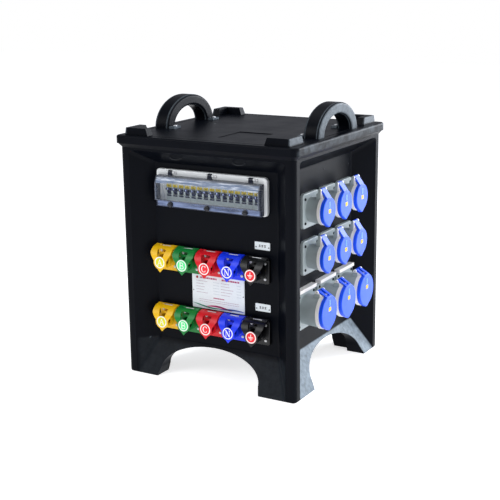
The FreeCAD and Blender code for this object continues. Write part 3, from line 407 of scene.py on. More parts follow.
def housing_scuff_and_highlight(tree, place):
    """Chalky grey on the housing: the sloping skirts under the side panels, partly wear and partly a painted
    highlight of the light from the right and behind; the lid's side lips, a thin painted edge highlight with
    some wear; the pads' outer sides, a painted highlight; and a little dust on the skirts at the front and
    the back. A skirt's face stands off the panel by its slope times the drop below its top edge."""
    panel, skirt_top, skirt_run = 195, 93, 50
    across, along, height = from_middle(tree, place, "housing")
    drop = add(tree, "Math", {0: skirt_top * MM, 1: height}, **LESS)
    face = add(tree, "Math", {0: drop, 1: skirt_run / skirt_top, 2: panel * MM}, operation="MULTIPLY_ADD")
    off = add(tree, "Math", {0: add(tree, "Math", {0: across, 1: face}, **LESS)}, **UNSIGNED)
    blots = add(tree, "TexNoise", {"Vector": place, "Scale": per_mm(45), "Detail": 4.0, "Roughness": 0.7})
    broken = add(tree, "MapRange", {0: blots, 1: 0.42, 2: 0.62})
    # The lid's side lips: a thin painted edge highlight with some wear, broken up by blots.
    lip = add(tree, "Math", {0: places(tree, (0.16, (across, 250.5, 253), (height, 598, 606))), 1: broken},
              **TIMES)
    low = (height, skirt_top + 2, skirt_top - 2)
    # Skirts under the side panels: partly wear, partly painted highlight of the light from the right and
    # behind. Pads' outer sides: painted highlight. Front and back skirts: a little dust.
    rest = places(tree, (0.75, (off, 3.2, 1.2), low, (along, 214, 208)),
                  (0.3, (height, 621, 624), (across, 225, 229.5)),
                  (0.035, (along, 193, 198), low, (across, 219, 212)))
    return add(tree, "Math", {0: rest, 1: lip}, **LARGEST)


def handle_scuff_and_highlight(tree, place):
    """Chalky grey on a handle: its outward side face, partly wear and partly a painted highlight of the light
    from the right; a thin painted highlight along each edge, where the mould's halves met; and its foot tabs."""
    across, _, height = from_middle(tree, place, "housing")
    # Outward face: partly wear, partly painted highlight. The two edge bands: painted highlight along each
    # edge. Last: the foot tabs.
    return places(tree, (0.3, (across, 233.5, 235.5)),
                  (0.2, (across, 228.5, 230), (across, 232.5, 231)),
                  (0.2, (across, 201, 199.5), (across, 196, 198)),
                  (0.35, (across, 193.5, 191), (height, 628, 625)))


def moulded_plastic(name, colour, shade, rough=0.32, size_mm=0.9, depth_mm=0.03):
    """Injection-moulded plastic: even colour that drifts slightly, a soft gloss and a very fine skin."""
    material, tree, shader, place = finish(name)
    drift = add(tree, "TexNoise", {"Vector": place, "Scale": per_mm(22), "Detail": 3.0, "Roughness": 0.55})
    wire(tree, shader, {
        "Base Color": add(tree, "Mix", {0: drift, 6: colour, 7: shade}, **MIXED),
        "Roughness": add(tree, "MapRange", {0: drift, 3: rough - 0.05, 4: rough + 0.1}),
        "Specular IOR Level": 0.36, "IOR": 1.5, "Normal": grain(tree, place, size_mm, depth_mm),
    })
    return material


def darker(colour, share):
    """The same colour with less light."""
    return (*[c * share for c in colour[:3]], 1.0)


def clear_polycarbonate(name):
    """Moulded polycarbonate: nearly clear front, a bevel painted pale and nearly opaque as a reflection, with
    painted bright glints along its draw marks, a hazy blue lower rim, and edges and hinge eyes that look dark
    because light leaves the sheet there."""
    material, tree, shader, place = finish(name)
    low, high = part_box("window_cover")
    z = add(tree, "SeparateXYZ", {0: place}, out=2)
    middle_x = (low.x + high.x) / 2
    off = add(tree, "Math", {0: add(tree, "SeparateXYZ", {0: place}), 1: middle_x}, **LESS)
    side = add(tree, "Math", {0: off}, **UNSIGNED)
    bevel = places(tree, (1.0, (z, 502.5, 505.5), (z, 522.5, 521)))
    rim = places(tree, (1.0, (z, 461.5, 460)))
    end_face, eyes = (side, 147, 148.5), (z, 522.5, 523)
    top_line, fold_line = [(z, 516, 520)], [(z, 458, 459.5), (z, 462.5, 461.2)]
    foot_line, end_line = [(z, 447, 445.5)], [(side, 144.5, 147)]
    lines = (top_line, fold_line, foot_line, end_line)
    firm = places(tree, (0.4, end_face), (1.0, eyes), *[(0.8, *line) for line in lines])
    dark = places(tree, (0.7, end_face), (1.0, eyes), *[(0.9, *line) for line in lines])

    # The mould's draw marks run across, so the noise is stretched that way.
    drawn = add(tree, "Mapping", {0: place, 3: (0.12, 1.0, 1.0)})
    marks = add(tree, "TexNoise", {"Vector": drawn, "Scale": per_mm(9), "Detail": 5.0, "Roughness": 0.6})
    streaks = add(tree, "MapRange", {0: marks, 1: 0.36, 2: 0.6})
    # Painted highlight: bright glints on the bevel.
    glints = add(tree, "TexNoise", {"Vector": drawn, "Scale": per_mm(5), "Detail": 4.0, "Roughness": 0.6})
    bright = add(tree, "MapRange", {0: glints, 1: 0.5, 2: 0.64})
    # Painted reflection: the bevel is made pale and nearly opaque, streaked along the draw marks.
    bevel_painted_reflection = add(tree, "MapRange", {0: streaks, 3: 0.42, 4: 0.9})
    bevel_painted_reflection = add(tree, "Math", {0: bevel, 1: bevel_painted_reflection}, **TIMES)
    rim_haze = add(tree, "MapRange", {0: streaks, 3: 0.45, 4: 0.8})
    rim_haze = add(tree, "Math", {0: rim, 1: rim_haze}, **TIMES)
    glare = add(tree, "Math", {0: add(tree, "Fresnel", {"IOR": 1.3}), 1: 0.6}, **TIMES)
    solid = 0.02
    for amount in (bevel_painted_reflection, rim_haze, glare, firm):
        solid = add(tree, "Math", {0: solid, 1: amount}, **LARGEST)

    # Pale blue-white of the bevel's painted reflection, brightest in the painted glints.
    reflection_tint = add(tree, "Mix", {0: bright, 6: linear("#7286a6"), 7: linear("#e6eefa")}, **MIXED)
    lower = add(tree, "Mix", {0: streaks, 6: linear("#45567c"), 7: linear("#8b9cc4")}, **MIXED)
    tint = add(tree, "Mix", {0: bevel, 6: colours().clear, 7: reflection_tint}, **MIXED)
    tint = add(tree, "Mix", {0: rim, 6: tint, 7: lower}, **MIXED)
    hazy = add(tree, "Math", {0: bevel, 1: rim}, **LARGEST)
    wire(tree, shader, {
        "Base Color": add(tree, "Mix", {0: dark, 6: tint, 7: linear("#161b2c")}, **MIXED), "Alpha": solid,
        "Roughness": add(tree, "MapRange", {0: hazy, 3: 0.06, 4: 0.3}),
        "Specular IOR Level": 0.3, "IOR": 1.58, "Normal": grain(tree, drawn, 6, 0.05),
    })
    return material


def turned_metal(name, colour, rough, size_mm=3.0):
    """Plain metal with a little uneven tarnish in its gloss."""
    material, tree, shader, place = finish(name)
    tarnish = add(tree, "TexNoise", {"Vector": place, "Scale": per_mm(size_mm), "Detail": 4.0,
                                     "Roughness": 0.55})
    wire(tree, shader, {
        "Base Color": add(tree, "Mix", {0: tarnish, 6: colour, 7: darker(colour, 0.7)}, **MIXED),
        "Metallic": 1.0, "Roughness": add(tree, "MapRange", {0: tarnish, 3: rough, 4: rough + 0.18}),
        "Normal": grain(tree, place, 0.8, 0.02),
    })
    return material


def screw_steel(name):
    """Zinc-plated steel heads on the front, blackened ones on the socket flanges."""
    material, tree, shader, place = finish(name)
    front_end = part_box("label_plates")[1].x / MM
    blackened = places(tree, (1.0, (add(tree, "SeparateXYZ", {0: place}), front_end + 10, front_end + 12)))
    zinc = add(tree, "TexNoise", {"Vector": place, "Scale": per_mm(3), "Detail": 4.0, "Roughness": 0.55})
    bright = add(tree, "Mix", {0: zinc, 6: linear("#e6e6e6"), 7: linear("#a9abb0")}, **MIXED)
    gloss = add(tree, "TexNoise", {"Vector": place, "Scale": per_mm(2.5), "Detail": 3.0, "Roughness": 0.55})
    wire(tree, shader, {
        "Base Color": add(tree, "Mix", {0: blackened, 6: bright, 7: linear("#24272b")}, **MIXED),
        "Metallic": 1.0, "Roughness": add(tree, "MapRange", {0: gloss, 3: 0.2, 4: 0.42}),
        "Normal": grain(tree, place, 0.8, 0.02),
    })
    return material


def socket_plastic(name, node, collar_out, reach, bar_height):
    """Grey moulded polyamide, light from collar_out off the panel outwards, and light above bar_height. The
    body reaches off the panel by reach. All three are in millimetres."""
    material, tree, shader, place = finish(name)
    collar_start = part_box(node)[1].x / MM - reach + collar_out
    x, z = add(tree, "SeparateXYZ", {0: place}), add(tree, "SeparateXYZ", {0: place}, out=2)
    light = places(tree, (1.0, (x, collar_start - 0.3, collar_start + 0.3)),
                   (1.0, (z, bar_height - 0.5, bar_height + 0.5)))
    drift = add(tree, "TexNoise", {"Vector": place, "Scale": per_mm(30), "Detail": 4.0, "Roughness": 0.55})
    grey = add(tree, "Mix", {0: drift, 6: colours().socket, 7: darker(colours().socket, 0.78)}, **MIXED)
    wire(tree, shader, {
        "Base Color": add(tree, "Mix", {0: light, 6: grey, 7: colours().collar}, **MIXED),
        "Roughness": add(tree, "MapRange", {0: drift, 3: 0.28, 4: 0.42}),
        "Specular IOR Level": 0.5, "IOR": 1.5, "Normal": grain(tree, place, 1.2, 0.04),
    })
    return material


def printed(name, colour, rough=0.45):
    """Printing ink or label film: flat colour with the faint mottle of its coat."""
    material, tree, shader, place = finish(name)
    coat = add(tree, "TexNoise", {"Vector": place, "Scale": per_mm(4), "Detail": 3.0, "Roughness": 0.55})
    wire(tree, shader, {
        "Base Color": add(tree, "Mix", {0: coat, 6: colour, 7: darker(colour, 0.86)}, **MIXED),
        "Roughness": add(tree, "MapRange", {0: coat, 3: rough - 0.08, 4: rough + 0.08}),
        "Specular IOR Level": 0.4, "IOR": 1.5, "Normal": grain(tree, place, 0.7, 0.01),
    })
    return material


# ---------------------------------------------------------------- operators: finishes of the CAD nodes

class BOX_OT_rubber(bpy.types.Operator):
    """Finish the housing, the handles and the bottom plate"""
    bl_idname = "box.rubber"
    bl_label = "Rubber housing and handles"

    def execute(self, context):
        dress(["housing"], rubber("Moulded rubber, housing", housing_scuff_and_highlight))
        dress(["handle_left", "handle_right"], rubber("Moulded rubber, handles", handle_scuff_and_highlight))
        # Powder-coated sheet steel: an even satin skin with a slight orange peel.
        dress(["bottom_plate"], moulded_plastic("Powder-coated steel", linear("#17191d"), linear("#1f2226"),
                                                0.5, 2.0, 0.06))
        return {"FINISHED"}


class BOX_OT_window(bpy.types.Operator):
    """Finish the breaker window, its latches, the breakers and the rail"""
    bl_idname = "box.window"
    bl_label = "Breaker window"

    def execute(self, context):
        white, breaker = colours().white, colours().breaker
        # Acrylonitrile butadiene styrene, injection-moulded: clean white with a soft gloss.
        dress(["window_frame"], moulded_plastic("White moulded ABS", white, darker(white, 0.9), 0.3))
        dress(["window_cover"], clear_polycarbonate("Clear polycarbonate"))
        dress([f"window_latch_{n}" for n in (1, 2, 3)],
              moulded_plastic("Dark acetal latch", linear("#15171d"), linear("#2a2d36"), 0.25))
        # Thermoset breaker shells are duller and slightly green-grey.
        dress(["breaker_bodies"], moulded_plastic("Breaker shell", breaker, darker(breaker, 0.88), 0.42))
        dress([f"toggle_{n:02d}" for n in range(1, 16)],
              moulded_plastic("Navy toggle", colours().toggle, darker(colours().toggle, 0.7), 0.3))
        dress(["din_rail"], turned_metal("Zinc-plated rail", linear("#c3c6c4"), 0.3, 8.0))
        return {"FINISHED"}


class BOX_OT_connectors(bpy.types.Operator):
    """Finish the single-pole connectors, their covers and the metal parts"""
    bl_idname = "box.connectors"
    bl_label = "Connectors and metal parts"

    def execute(self, context):
        for colour in COLOURS:
            base = getattr(colours(), colour)
            material = moulded_plastic(f"{colour.capitalize()} polyamide", base, darker(base, 0.8), 0.3)
            dress([f"connector_bodies_{colour}"] + [f"cover_{row}_{colour}" for row in ROWS], material)
        dress(["m4_screws"], screw_steel("Zinc-plated and blackened screws"))
        dress(["m6_screws", "hinge_pins"], turned_metal("Stainless steel", linear("#c9cbce"), 0.25))
        dress(["busbars"], turned_metal("Copper bar", linear("#d08a5c"), 0.3, 12.0))
        dress(["connector_contacts", "socket_contacts"],
              turned_metal("Turned brass", linear("#d9b566"), 0.25))
        return {"FINISHED"}


class BOX_OT_sockets(bpy.types.Operator):
    """Finish the industrial sockets and their lids"""
    bl_idname = "box.sockets"
    bl_label = "Industrial sockets"

    def execute(self, context):
        above_all, hinge_bar = 1000, 244.5
        dress(["socket_bodies_16a"],
              socket_plastic("Grey polyamide, small sockets", "socket_bodies_16a", 40, SMALL_REACH,
                             above_all))
        dress(["socket_bodies_32a"],
              socket_plastic("Grey polyamide, large sockets", "socket_bodies_32a", 54, LARGE_REACH,
                             hinge_bar))
        blue = colours().lid
        dress(["socket_carriers"],
              moulded_plastic("Blue contact carrier", darker(blue, 0.6), darker(blue, 0.4)))
        lids = [f"lid_16a_{n}" for n in SMALL_SOCKETS] + [f"lid_32a_{n}" for n in LARGE_SOCKETS]
        dress(lids, moulded_plastic("Blue polyamide lid", blue, darker(blue, 0.86), 0.34, 1.0, 0.03))
        return {"FINISHED"}


# ---------------------------------------------------------------- operators: applied and printed pieces

def letter_strokes(mark, low, high):
    """Strokes of one phase mark in a box one unit high: thin and thick lines with serifs, and the earth
    sign."""
    thin, thick = 0.07, 0.15
    paths = {
        "yellow": [([(-0.34, -0.46), (0, 0.5)], thin), ([(-0.02, 0.5), (0.34, -0.46)], thick),
                   ([(-0.2, -0.12), (0.22, -0.12)], thin), ([(-0.48, -0.47), (-0.2, -0.47)], thin),
                   ([(0.18, -0.47), (0.5, -0.47)], thin)],
        "green": [([(-0.24, -0.5), (-0.24, 0.5)], thick), ([(-0.4, -0.47), (-0.1, -0.47)], thin),
                  ([(-0.4, 0.47), (-0.1, 0.47)], thin),
                  (np.vstack([[(-0.2, 0.47)], arc_path((0.02, 0.25), 0.24, 0.22, 90, -90), [(-0.2, 0.03)]]),
                   0.1),
                  (np.vstack([[(-0.2, 0.02)], arc_path((0.06, -0.23), 0.28, 0.25, 90, -90), [(-0.2, -0.48)]]),
                   0.11)],
        "red": [(arc_path((0, 0), 0.36, 0.47, 42, 318, 28),
                 0.06 + 0.1 * np.abs(np.cos(np.radians(np.linspace(42, 318, 28)))) ** 1.5),
                ([(0.27, 0.2), (0.27, 0.46)], thin), ([(0.27, -0.2), (0.27, -0.4)], thin)],
        "blue": [([(-0.3, -0.46), (-0.3, 0.46)], thin), ([(-0.36, 0.5), (0.32, -0.5)], 0.17),
                 ([(0.32, -0.5), (0.32, 0.46)], thin), ([(-0.46, -0.47), (-0.14, -0.47)], thin),
                 ([(0.16, 0.47), (0.48, 0.47)], thin), ([(-0.48, 0.47), (-0.24, 0.47)], thin)],
        "black": [([(0, 0.5), (0, 0.05)], 0.1), ([(-0.42, 0.03), (0.42, 0.03)], 0.11),
                  ([(-0.28, -0.16), (0.28, -0.16)], 0.1), ([(-0.14, -0.35), (0.14, -0.35)], 0.1)],
    }
    step = (high - low) * 0.04
    return [stroke(path, width, low, high + number * step)
            for number, (path, width) in enumerate(paths[mark])]


def cover_face(up):
    """How far the cover's curved face stands from the hinge axis at a height above the badge's foot: level
    below the bend, and above it the circle through the cover's hinge, shoulder and bend."""
    bend, front, hinge = 4 * MM, 34.3 * MM, (0.0, 35.6 * MM)
    shoulder = (24 * MM, 27 * MM)
    a, b, c = np.array([hinge, shoulder, (front, bend)])
    lengths = np.array([a @ a - b @ b, a @ a - c @ c]) / 2
    centre = np.linalg.solve(np.array([a - b, a - c]), lengths)
    radius = np.linalg.norm(a - centre)
    over = np.clip(up - centre[1], -radius, radius)
    curved = centre[0] + np.sqrt(radius ** 2 - over ** 2)
    level = front + (bend - up) * 0.7 / 37
    return np.where(up > bend, np.minimum(curved, front), level)


class BOX_OT_badges(bpy.types.Operator):
    """Put the round phase badges on the connector covers"""
    bl_idname = "box.badges"
    bl_label = "Phase badges"

    def execute(self, context):
        s = sizes()
        inks = {"yellow": "#e4e01a", "green": "#58ee90", "red": "#f4142a", "blue": "#0c22ea",
                "black": "#f01a26"}
        white = printed("White badge print", linear("#f8f8f4"))
        badge_drop, radius = 36 * MM, s.badge / 2
        for colour in COLOURS:
            film = printed(f"Badge film, {colour}", linear(inks[colour]), 0.35)
            for row in ROWS:
                hinge = joint_place(f"cover_{row}_{colour}_flip")
                ring = stroke(circle_path(radius - s.badge_ring / 2 - 0.4 * MM), s.badge_ring, 0.0,
                              s.badge_thick + s.print_thick, closed=True)
                marks = [moved(part, scale=s.letter) for part in
                         letter_strokes(colour, s.badge_thick * 0.5, s.badge_thick + s.print_thick)]
                plate = disc(radius, s.badge_thick, 0.2 * MM)
                layers = []
                for parts, ink in (([plate], film), ([ring] + marks, white)):
                    bent = [(points + np.column_stack([np.zeros((len(points), 2)),
                                                       cover_face(points[:, 1] - 3 * MM)]), faces)
                            for points, faces in parts]
                    layers.append((bent, ink))
                at = (hinge.x, hinge.y, hinge.z - badge_drop)
                piece(f"badge_{row}_{colour}", layers, to_front, at, f"cover_{row}_{colour}")
        return {"FINISHED"}


class BOX_OT_breaker_marks(bpy.types.Operator):
    """Put labels on the breakers and marks on their toggles"""
    bl_idname = "box.breaker_marks"
    bl_label = "Breaker labels"

    def execute(self, context):
        s = sizes()
        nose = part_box("breaker_bodies")[0].y
        yellow = printed("Yellow label film", colours().label)
        dark = printed("Dark print", linear("#20242e"))
        light = printed("Light toggle mark", linear("#a8b6e8"))
        labels, marks, feet = [], [], []
        rng = np.random.default_rng(7)
        for n in range(1, 16):
            at = joint_place(f"toggle_{n:02d}_throw")
            label = plaque(s.tag_width, s.tag_height, 0.6 * MM, 0.35 * MM, 0.1 * MM)
            labels.append(moved(label, at.x, at.z + 15.5 * MM))
            for line in range(2):
                half = rng.uniform(2.0, 4.2) * MM
                up = at.z + (17.4 - 3.4 * line) * MM
                marks.append(moved(stroke([(-half, 0), (half, 0)], 0.9 * MM, 0.3 * MM, 0.45 * MM), at.x, up))
            foot = plaque(12.4 * MM, 3.4 * MM, 0.8 * MM, 1.4 * MM, 0.4 * MM)
            feet.append(moved(foot, at.x, at.z - 10.4 * MM))
            bar = stroke([(0, -2.1 * MM), (0, 2.1 * MM)], 3.6 * MM, 0.0, 0.25 * MM)
            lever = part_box(f"toggle_{n:02d}")[0].y
            piece(f"toggle_mark_{n:02d}", [([bar], light)], to_front,
                  (at.x, lever + 0.1 * MM, at.z + 7.2 * MM), f"toggle_{n:02d}")
        navy = moulded_plastic("Navy foot of the toggle slot", colours().toggle,
                               darker(colours().toggle, 0.6))
        piece("breaker_labels", [(labels, yellow), (marks, dark), (feet, navy)], to_front, (0, nose, 0),
              "root")
        return {"FINISHED"}


class BOX_OT_nameplate(bpy.types.Operator):
    """Print the nameplate and the two row labels"""
    bl_idname = "box.nameplate"
    bl_label = "Nameplate and row labels"

    def execute(self, context):
        s = sizes()
        # Coated aluminium sheet: cool white, faintly glossy.
        dress(["label_plates"], printed("White coated label sheet", linear("#eaf1f5"), 0.35))
        low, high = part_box("label_plates")
        # The row labels stand on the connectors' flanges, the nameplate on the panel behind them.
        label_face, plate_face = low.y, high.y - 1.2 * MM
        middle_x, middle_z = low.x + 76 * MM, 231 * MM
        rng = np.random.default_rng(11)
        ink_high = s.print_thick
        heading, small, pale = [], [], []

        def words(bucket, left, right, up, height, gap, longest):
            """Row of dashes for printed words, of uneven lengths, in millimetres."""
            x = left
            while x < right:
                end = min(x + rng.uniform(0.4, 1.0) * longest, right)
                bucket.append(stroke([(x * MM, up * MM), (end * MM, up * MM)], height * MM, 0.0, ink_high))
                x = end + gap

        words(heading, -53, -4, 36.0, 4.2, 1.0, 5.0)
        words(heading, 11, 62, 36.0, 4.2, 1.0, 5.0)
        words(heading, -14, 18, -13.5, 2.8, 0.8, 4.0)
        for line in range(5):
            up = 27.0 - 7.4 * line
            words(small, -64, -64 + rng.uniform(20, 34), up, 1.3, 0.9, 5.0)
            words(pale, -14, 4, up, 1.3, 0.9, 4.0)
            words(small, 8, 8 + rng.uniform(22, 40), up, 1.3, 0.9, 5.0)
            words(pale, 54, 66, up, 1.3, 0.9, 4.0)
        for up in (-20.5, -25.5):
            words(small, -56, 60, up, 1.2, 0.9, 6.0)
        dot = [moved(disc(3.4 * MM, ink_high + 0.02 * MM, 0.04 * MM), -61 * MM, 36 * MM)]

        def wave(start, end, base, rise, turns, shift, width):
            """Ribbon along a sine curve, widest half way as a half sine, in millimetres."""
            x = np.linspace(start, end, 50)
            t = (x - start) / (end - start)
            up = base + rise * np.sin(turns * 2 * math.pi * t + shift)
            swelling = width * MM * (0.15 + np.sin(math.pi * t))
            return stroke(np.column_stack([x, up]) * MM, swelling, 0.0, ink_high)

        green = [wave(-76, 10, -35 - n, 4.5, 0.55, 2.2, 1.6 - 0.3 * n) for n in range(3)]
        magenta = [wave(-34, 40, -38.5 + 1.3 * n, 3.6, 0.6, 0.2, 3.4 - n) for n in range(2)]
        blue = [wave(0, 76, -41 + 1.4 * n, 3.2, 0.5, -0.4, 3.0 - n) for n in range(2)]
        eyes = [moved(disc(1.5 * MM, ink_high + 0.1 * MM, 0.05 * MM), x * MM, 1.0 * MM)
                for x in (-72.5, 72.5)]
        prints = ((heading, "Magenta print", "#b01a5c"), (small, "Grey-rose print", "#b9a3b4"),
                  (pale, "Pale grey print", "#c3cdd6"), (dot, "Dark red print", "#a00c14"),
                  (green, "Green wave print", "#1c8f72"), (magenta, "Pink wave print", "#d63a86"),
                  (blue, "Blue wave print", "#5a74c8"), (eyes, "Plate hole", "#3c4048"))
        piece("nameplate_print", [(parts, printed(name, linear(ink))) for parts, name, ink in prints],
              to_front, (middle_x, plate_face, middle_z), "root")

        ink, rivets = [], []
        x = high.x - 21 * MM
        upper_z, lower_z = 368 * MM, 213 * MM
        for z in (upper_z, lower_z):
            for n in (-1, 0, 1):
                across = x + n * 7.2 * MM
                for bar in (1.8 * MM, -1.8 * MM):
                    dash = stroke([(-2.6 * MM, bar), (2.6 * MM, bar)], 1.3 * MM, 0, ink_high)
                    ink.append(moved(dash, across, z))
                ink.append(moved(stroke([(0, -3 * MM), (0, 3 * MM)], 1.5 * MM, 0, ink_high * 1.1), across, z))
            for side in (-1, 1):
                rivets.append(moved(disc(1.7 * MM, 0.9 * MM, 0.6 * MM), x + side * 17.5 * MM, z - 3 * MM))
        piece("row_label_print", [(ink, printed("Black print", linear("#16181d"))),
                                  (rivets, turned_metal("Blackened rivet", linear("#5a5e64"), 0.35))],
              to_front, (0, label_face, 0), "root")
        return {"FINISHED"}


class BOX_OT_lid_marks(bpy.types.Operator):
    """Put the yellow label and the raised panel on each socket lid"""
    bl_idname = "box.lid_marks"
    bl_label = "Lid labels"

    def execute(self, context):
        s = sizes()
        yellow = printed("Yellow lid label", colours().label)
        dark = printed("Grey-green label print", linear("#8a8420"))
        pale = moulded_plastic("Raised blue lettering pad", linear("#6ea4f8"), linear("#4f88f4"), 0.3)
        kinds = [("16a", n, SMALL_DROP, 0.0, 16.0) for n in SMALL_SOCKETS]
        kinds += [("32a", n, LARGE_DROP, 8.0, 24.0) for n in LARGE_SOCKETS]
        for name, number, drop, label_up, pad_up in kinds:
            node = f"lid_{name}_{number}"
            hinge = joint_place(f"{node}_flip")
            at = (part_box(node)[1].x, hinge.y, hinge.z - drop * MM)
            label = plaque(s.lid_label, s.lid_label * 0.8, 0.8 * MM, 0.5 * MM, 0.15 * MM)
            label = moved(label, 0, label_up * MM)
            ring = stroke(rounded_loop(2.4 * MM, 2.6 * MM, 1.0 * MM), 0.9 * MM, 0.4 * MM, 0.6 * MM, True)
            ring = moved(ring, 0, label_up * MM)
            bars = [moved(plaque(8.5 * MM, 1.8 * MM, 0.8 * MM, 0.7 * MM, 0.35 * MM), 0, (pad_up + 3 * n) * MM)
                    for n in (-2, -1, 0, 1, 2)]
            piece(f"lid_marks_{name}_{number}", [([label], yellow), ([ring], dark), (bars, pale)], to_right,
                  at, node)
        return {"FINISHED"}


class BOX_OT_mould_marks(bpy.types.Operator):
    """Raise the oval moulding marks and the small pips on the housing"""
    bl_idname = "box.mould_marks"
    bl_label = "Moulding marks"

    def execute(self, context):
        skin_rubber = moulded_plastic("Rubber moulding mark", linear("#14171c"), linear("#1e2228"), 0.45)
        oval = [stroke(arc_path((0, 0), 18 * MM, 7.5 * MM, 0, 350, 36), 1.6 * MM, -0.4 * MM, 0.7 * MM, True)]
        # The marks lie on the flank above the panel, which leans out by its depth over its height.
        flank_depth, flank_height, flank_middle_z = 50, 34, 572.4 * MM
        lean = Euler((math.atan2(flank_depth, flank_height) - math.pi / 2, 0, 0))
        lean = np.array(lean.to_matrix())
        flank_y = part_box("window_frame")[1].y - 33 * MM

        def on_flank(points, at):
            """Face frame to the leaning flank: the front's frame turned back by the lean."""
            return to_front(points, (0, 0, 0)) @ lean.T + at

        for name, x in (("left", -90 * MM), ("right", 88 * MM)):
            at = (middle("housing").x + x, flank_y, flank_middle_z)
            piece(f"oval_mark_{name}", [(oval, skin_rubber)], on_flank, at, "root")
        pips = [moved(disc(1.8 * MM, 1.0 * MM, 0.7 * MM), across * MM, up * MM)
                for across, up in ((9, 529), (101, 546), (-128, 538), (-150, 128), (150, 520))]
        piece("pips_right", [(pips, skin_rubber)], to_right, (right_panel(), 0, 0), "root")
        return {"FINISHED"}


class BOX_OT_gaskets(bpy.types.Operator):
    """Lay the foam gaskets that show under the large socket flanges"""
    bl_idname = "box.gaskets"
    bl_label = "Socket gaskets"

    def execute(self, context):
        foam = moulded_plastic("Closed-cell gasket", linear("#6f6a55"), linear("#57523f"), 0.7, 1.5, 0.2)
        strip = plaque((LARGE_FLANGE - 4) * MM, 2 * sizes().gasket, 1.0 * MM, 2.0 * MM, 0.5 * MM)
        parts = []
        for n in LARGE_SOCKETS:
            hinge = joint_place(f"lid_32a_{n}_flip")
            parts.append(moved(strip, hinge.y, hinge.z - (LARGE_DROP + LARGE_FLANGE / 2) * MM))
        piece("flange_gaskets", [(parts, foam)], to_right, (right_panel(), 0, 0), "root")
        return {"FINISHED"}


# ---------------------------------------------------------------- studio

def area_light(name, place, aim, width, power, colour):
    """Soft box that looks at a point."""
    lamp = bpy.data.lights.new(name, "AREA")
    lamp.shape = "RECTANGLE"
    lamp.size, lamp.size_y = width
    lamp.energy = power
    lamp.color = linear(colour)[:3]
    thing = bpy.data.objects.new(name, lamp)
    thing.location = place
    thing.rotation_euler = (Vector(aim) - Vector(place)).to_track_quat("-Z", "Y").to_euler()
    thing.visible_camera = False
    bpy.context.scene.collection.objects.link(thing)


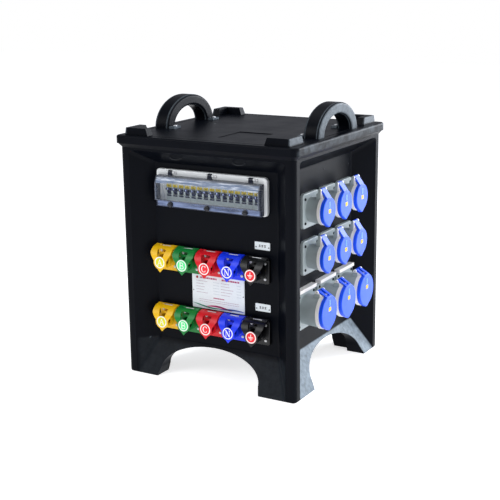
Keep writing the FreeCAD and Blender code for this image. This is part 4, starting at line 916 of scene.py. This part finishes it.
class BOX_OT_studio(bpy.types.Operator):
    """Set up the floor, the lights and the camera"""
    bl_idname = "box.studio"
    bl_label = "Studio"

    def execute(self, context):
        s = studio()
        scene = context.scene
        scene.view_settings.view_transform = "Standard"
        # Back-lit opal studio floor: matt and nearly white, with the faintest unevenness.
        material, tree, shader, place = finish("Matt white studio floor")
        patches = add(tree, "TexNoise", {"Vector": place, "Scale": per_mm(400), "Roughness": 0.55})
        wire(tree, shader, {
            "Base Color": add(tree, "Mix", {0: patches, 6: s.floor, 7: darker(s.floor, 0.97)}, **MIXED),
            "Roughness": 0.9, "Specular IOR Level": 0.1,
            "Emission Color": (1.0, 1.0, 1.0, 1.0), "Emission Strength": s.glow,
        })
        half = 9.0
        corners = [(-half, -half, 0), (half, -half, 0), (half, half, 0), (-half, half, 0)]
        mesh = bpy.data.meshes.new("studio_floor")
        mesh.from_pydata(corners, [], [(0, 1, 2, 3)])
        mesh.materials.append(material)
        floor = bpy.data.objects.new("studio_floor", mesh)
        scene.collection.objects.link(floor)

        aim = (0.0, 0.0, 0.3)
        area_light("side_box", (2.3, -0.5, 1.5), aim, (1.6, 1.6), s.side, "#ffffff")
        area_light("rim_box", (1.5, 2.3, 1.0), aim, (2.4, 1.4), s.rim, "#f2f7ff")
        area_light("fill_box", (-1.4, -2.6, 2.2), aim, (1.8, 1.8), s.fill, "#ffffff")
        area_light("top_box", (0.2, 0.0, 3.2), aim, (3.0, 3.0), s.top, "#ffffff")

        world = bpy.data.worlds.new("studio_room")
        world.use_nodes = True
        tree = world.node_tree
        tree.nodes.clear()
        seen = add(tree, "LightPath", out="Is Camera Ray")
        room = add(tree, "Background", {"Color": linear("#f2f5ff"), "Strength": s.sky})
        backdrop = add(tree, "Background", {"Color": (1, 1, 1, 1), "Strength": 1.0})
        mixed = add(tree, "MixShader", {0: seen, 1: room, 2: backdrop})
        out = tree.nodes.new("ShaderNodeOutputWorld")
        tree.links.new(mixed, out.inputs["Surface"])
        scene.world = world

        lens = bpy.data.cameras.new("camera")
        lens.lens = s.lens
        lens.sensor_width = 36.0
        camera = bpy.data.objects.new("camera", lens)
        a, e = s.azimuth, s.elevation
        back = Vector((math.sin(a) * math.cos(e), -math.cos(a) * math.cos(e), math.sin(e)))
        aimed = (-back).to_track_quat("-Z", "Y").to_matrix()
        camera.rotation_euler = (aimed @ Euler((0, 0, s.roll)).to_matrix()).to_euler()
        camera.location = s.stand
        scene.collection.objects.link(camera)
        scene.camera = camera
        return {"FINISHED"}


class BOX_PT_panel(bpy.types.Panel):
    """Lists the box's settings and steps"""
    bl_label = "Power box"
    bl_idname = "BOX_PT_panel"
    bl_space_type = "VIEW_3D"
    bl_region_type = "UI"
    bl_category = "Power box"

    def draw(self, context):
        for group in (colours(), sizes(), studio()):
            column = self.layout.column(align=True)
            for name in group.__annotations__:
                column.prop(group, name)
        for step in STEPS:
            self.layout.operator(step.bl_idname)


STEPS = (BOX_OT_rubber, BOX_OT_window, BOX_OT_connectors, BOX_OT_sockets, BOX_OT_badges, BOX_OT_breaker_marks,
         BOX_OT_nameplate, BOX_OT_lid_marks, BOX_OT_mould_marks, BOX_OT_gaskets, BOX_OT_studio)
CLASSES = (BoxColours, BoxSizes, BoxStudio, *STEPS, BOX_PT_panel)


def register():
    """Registers the classes and hangs the settings on the scene."""
    for cls in CLASSES:
        bpy.utils.register_class(cls)
    bpy.types.Scene.box_colours = PointerProperty(type=BoxColours)
    bpy.types.Scene.box_sizes = PointerProperty(type=BoxSizes)
    bpy.types.Scene.box_studio = PointerProperty(type=BoxStudio)


def unregister():
    """Takes the settings and the classes away again."""
    del bpy.types.Scene.box_colours
    del bpy.types.Scene.box_sizes
    del bpy.types.Scene.box_studio
    for cls in reversed(CLASSES):
        bpy.utils.unregister_class(cls)


def main():
    """Runs every step in order."""
    register()
    for step in STEPS:
        group, name = step.bl_idname.split(".")
        getattr(getattr(bpy.ops, group), name)()


if __name__ == "__main__":
    main()
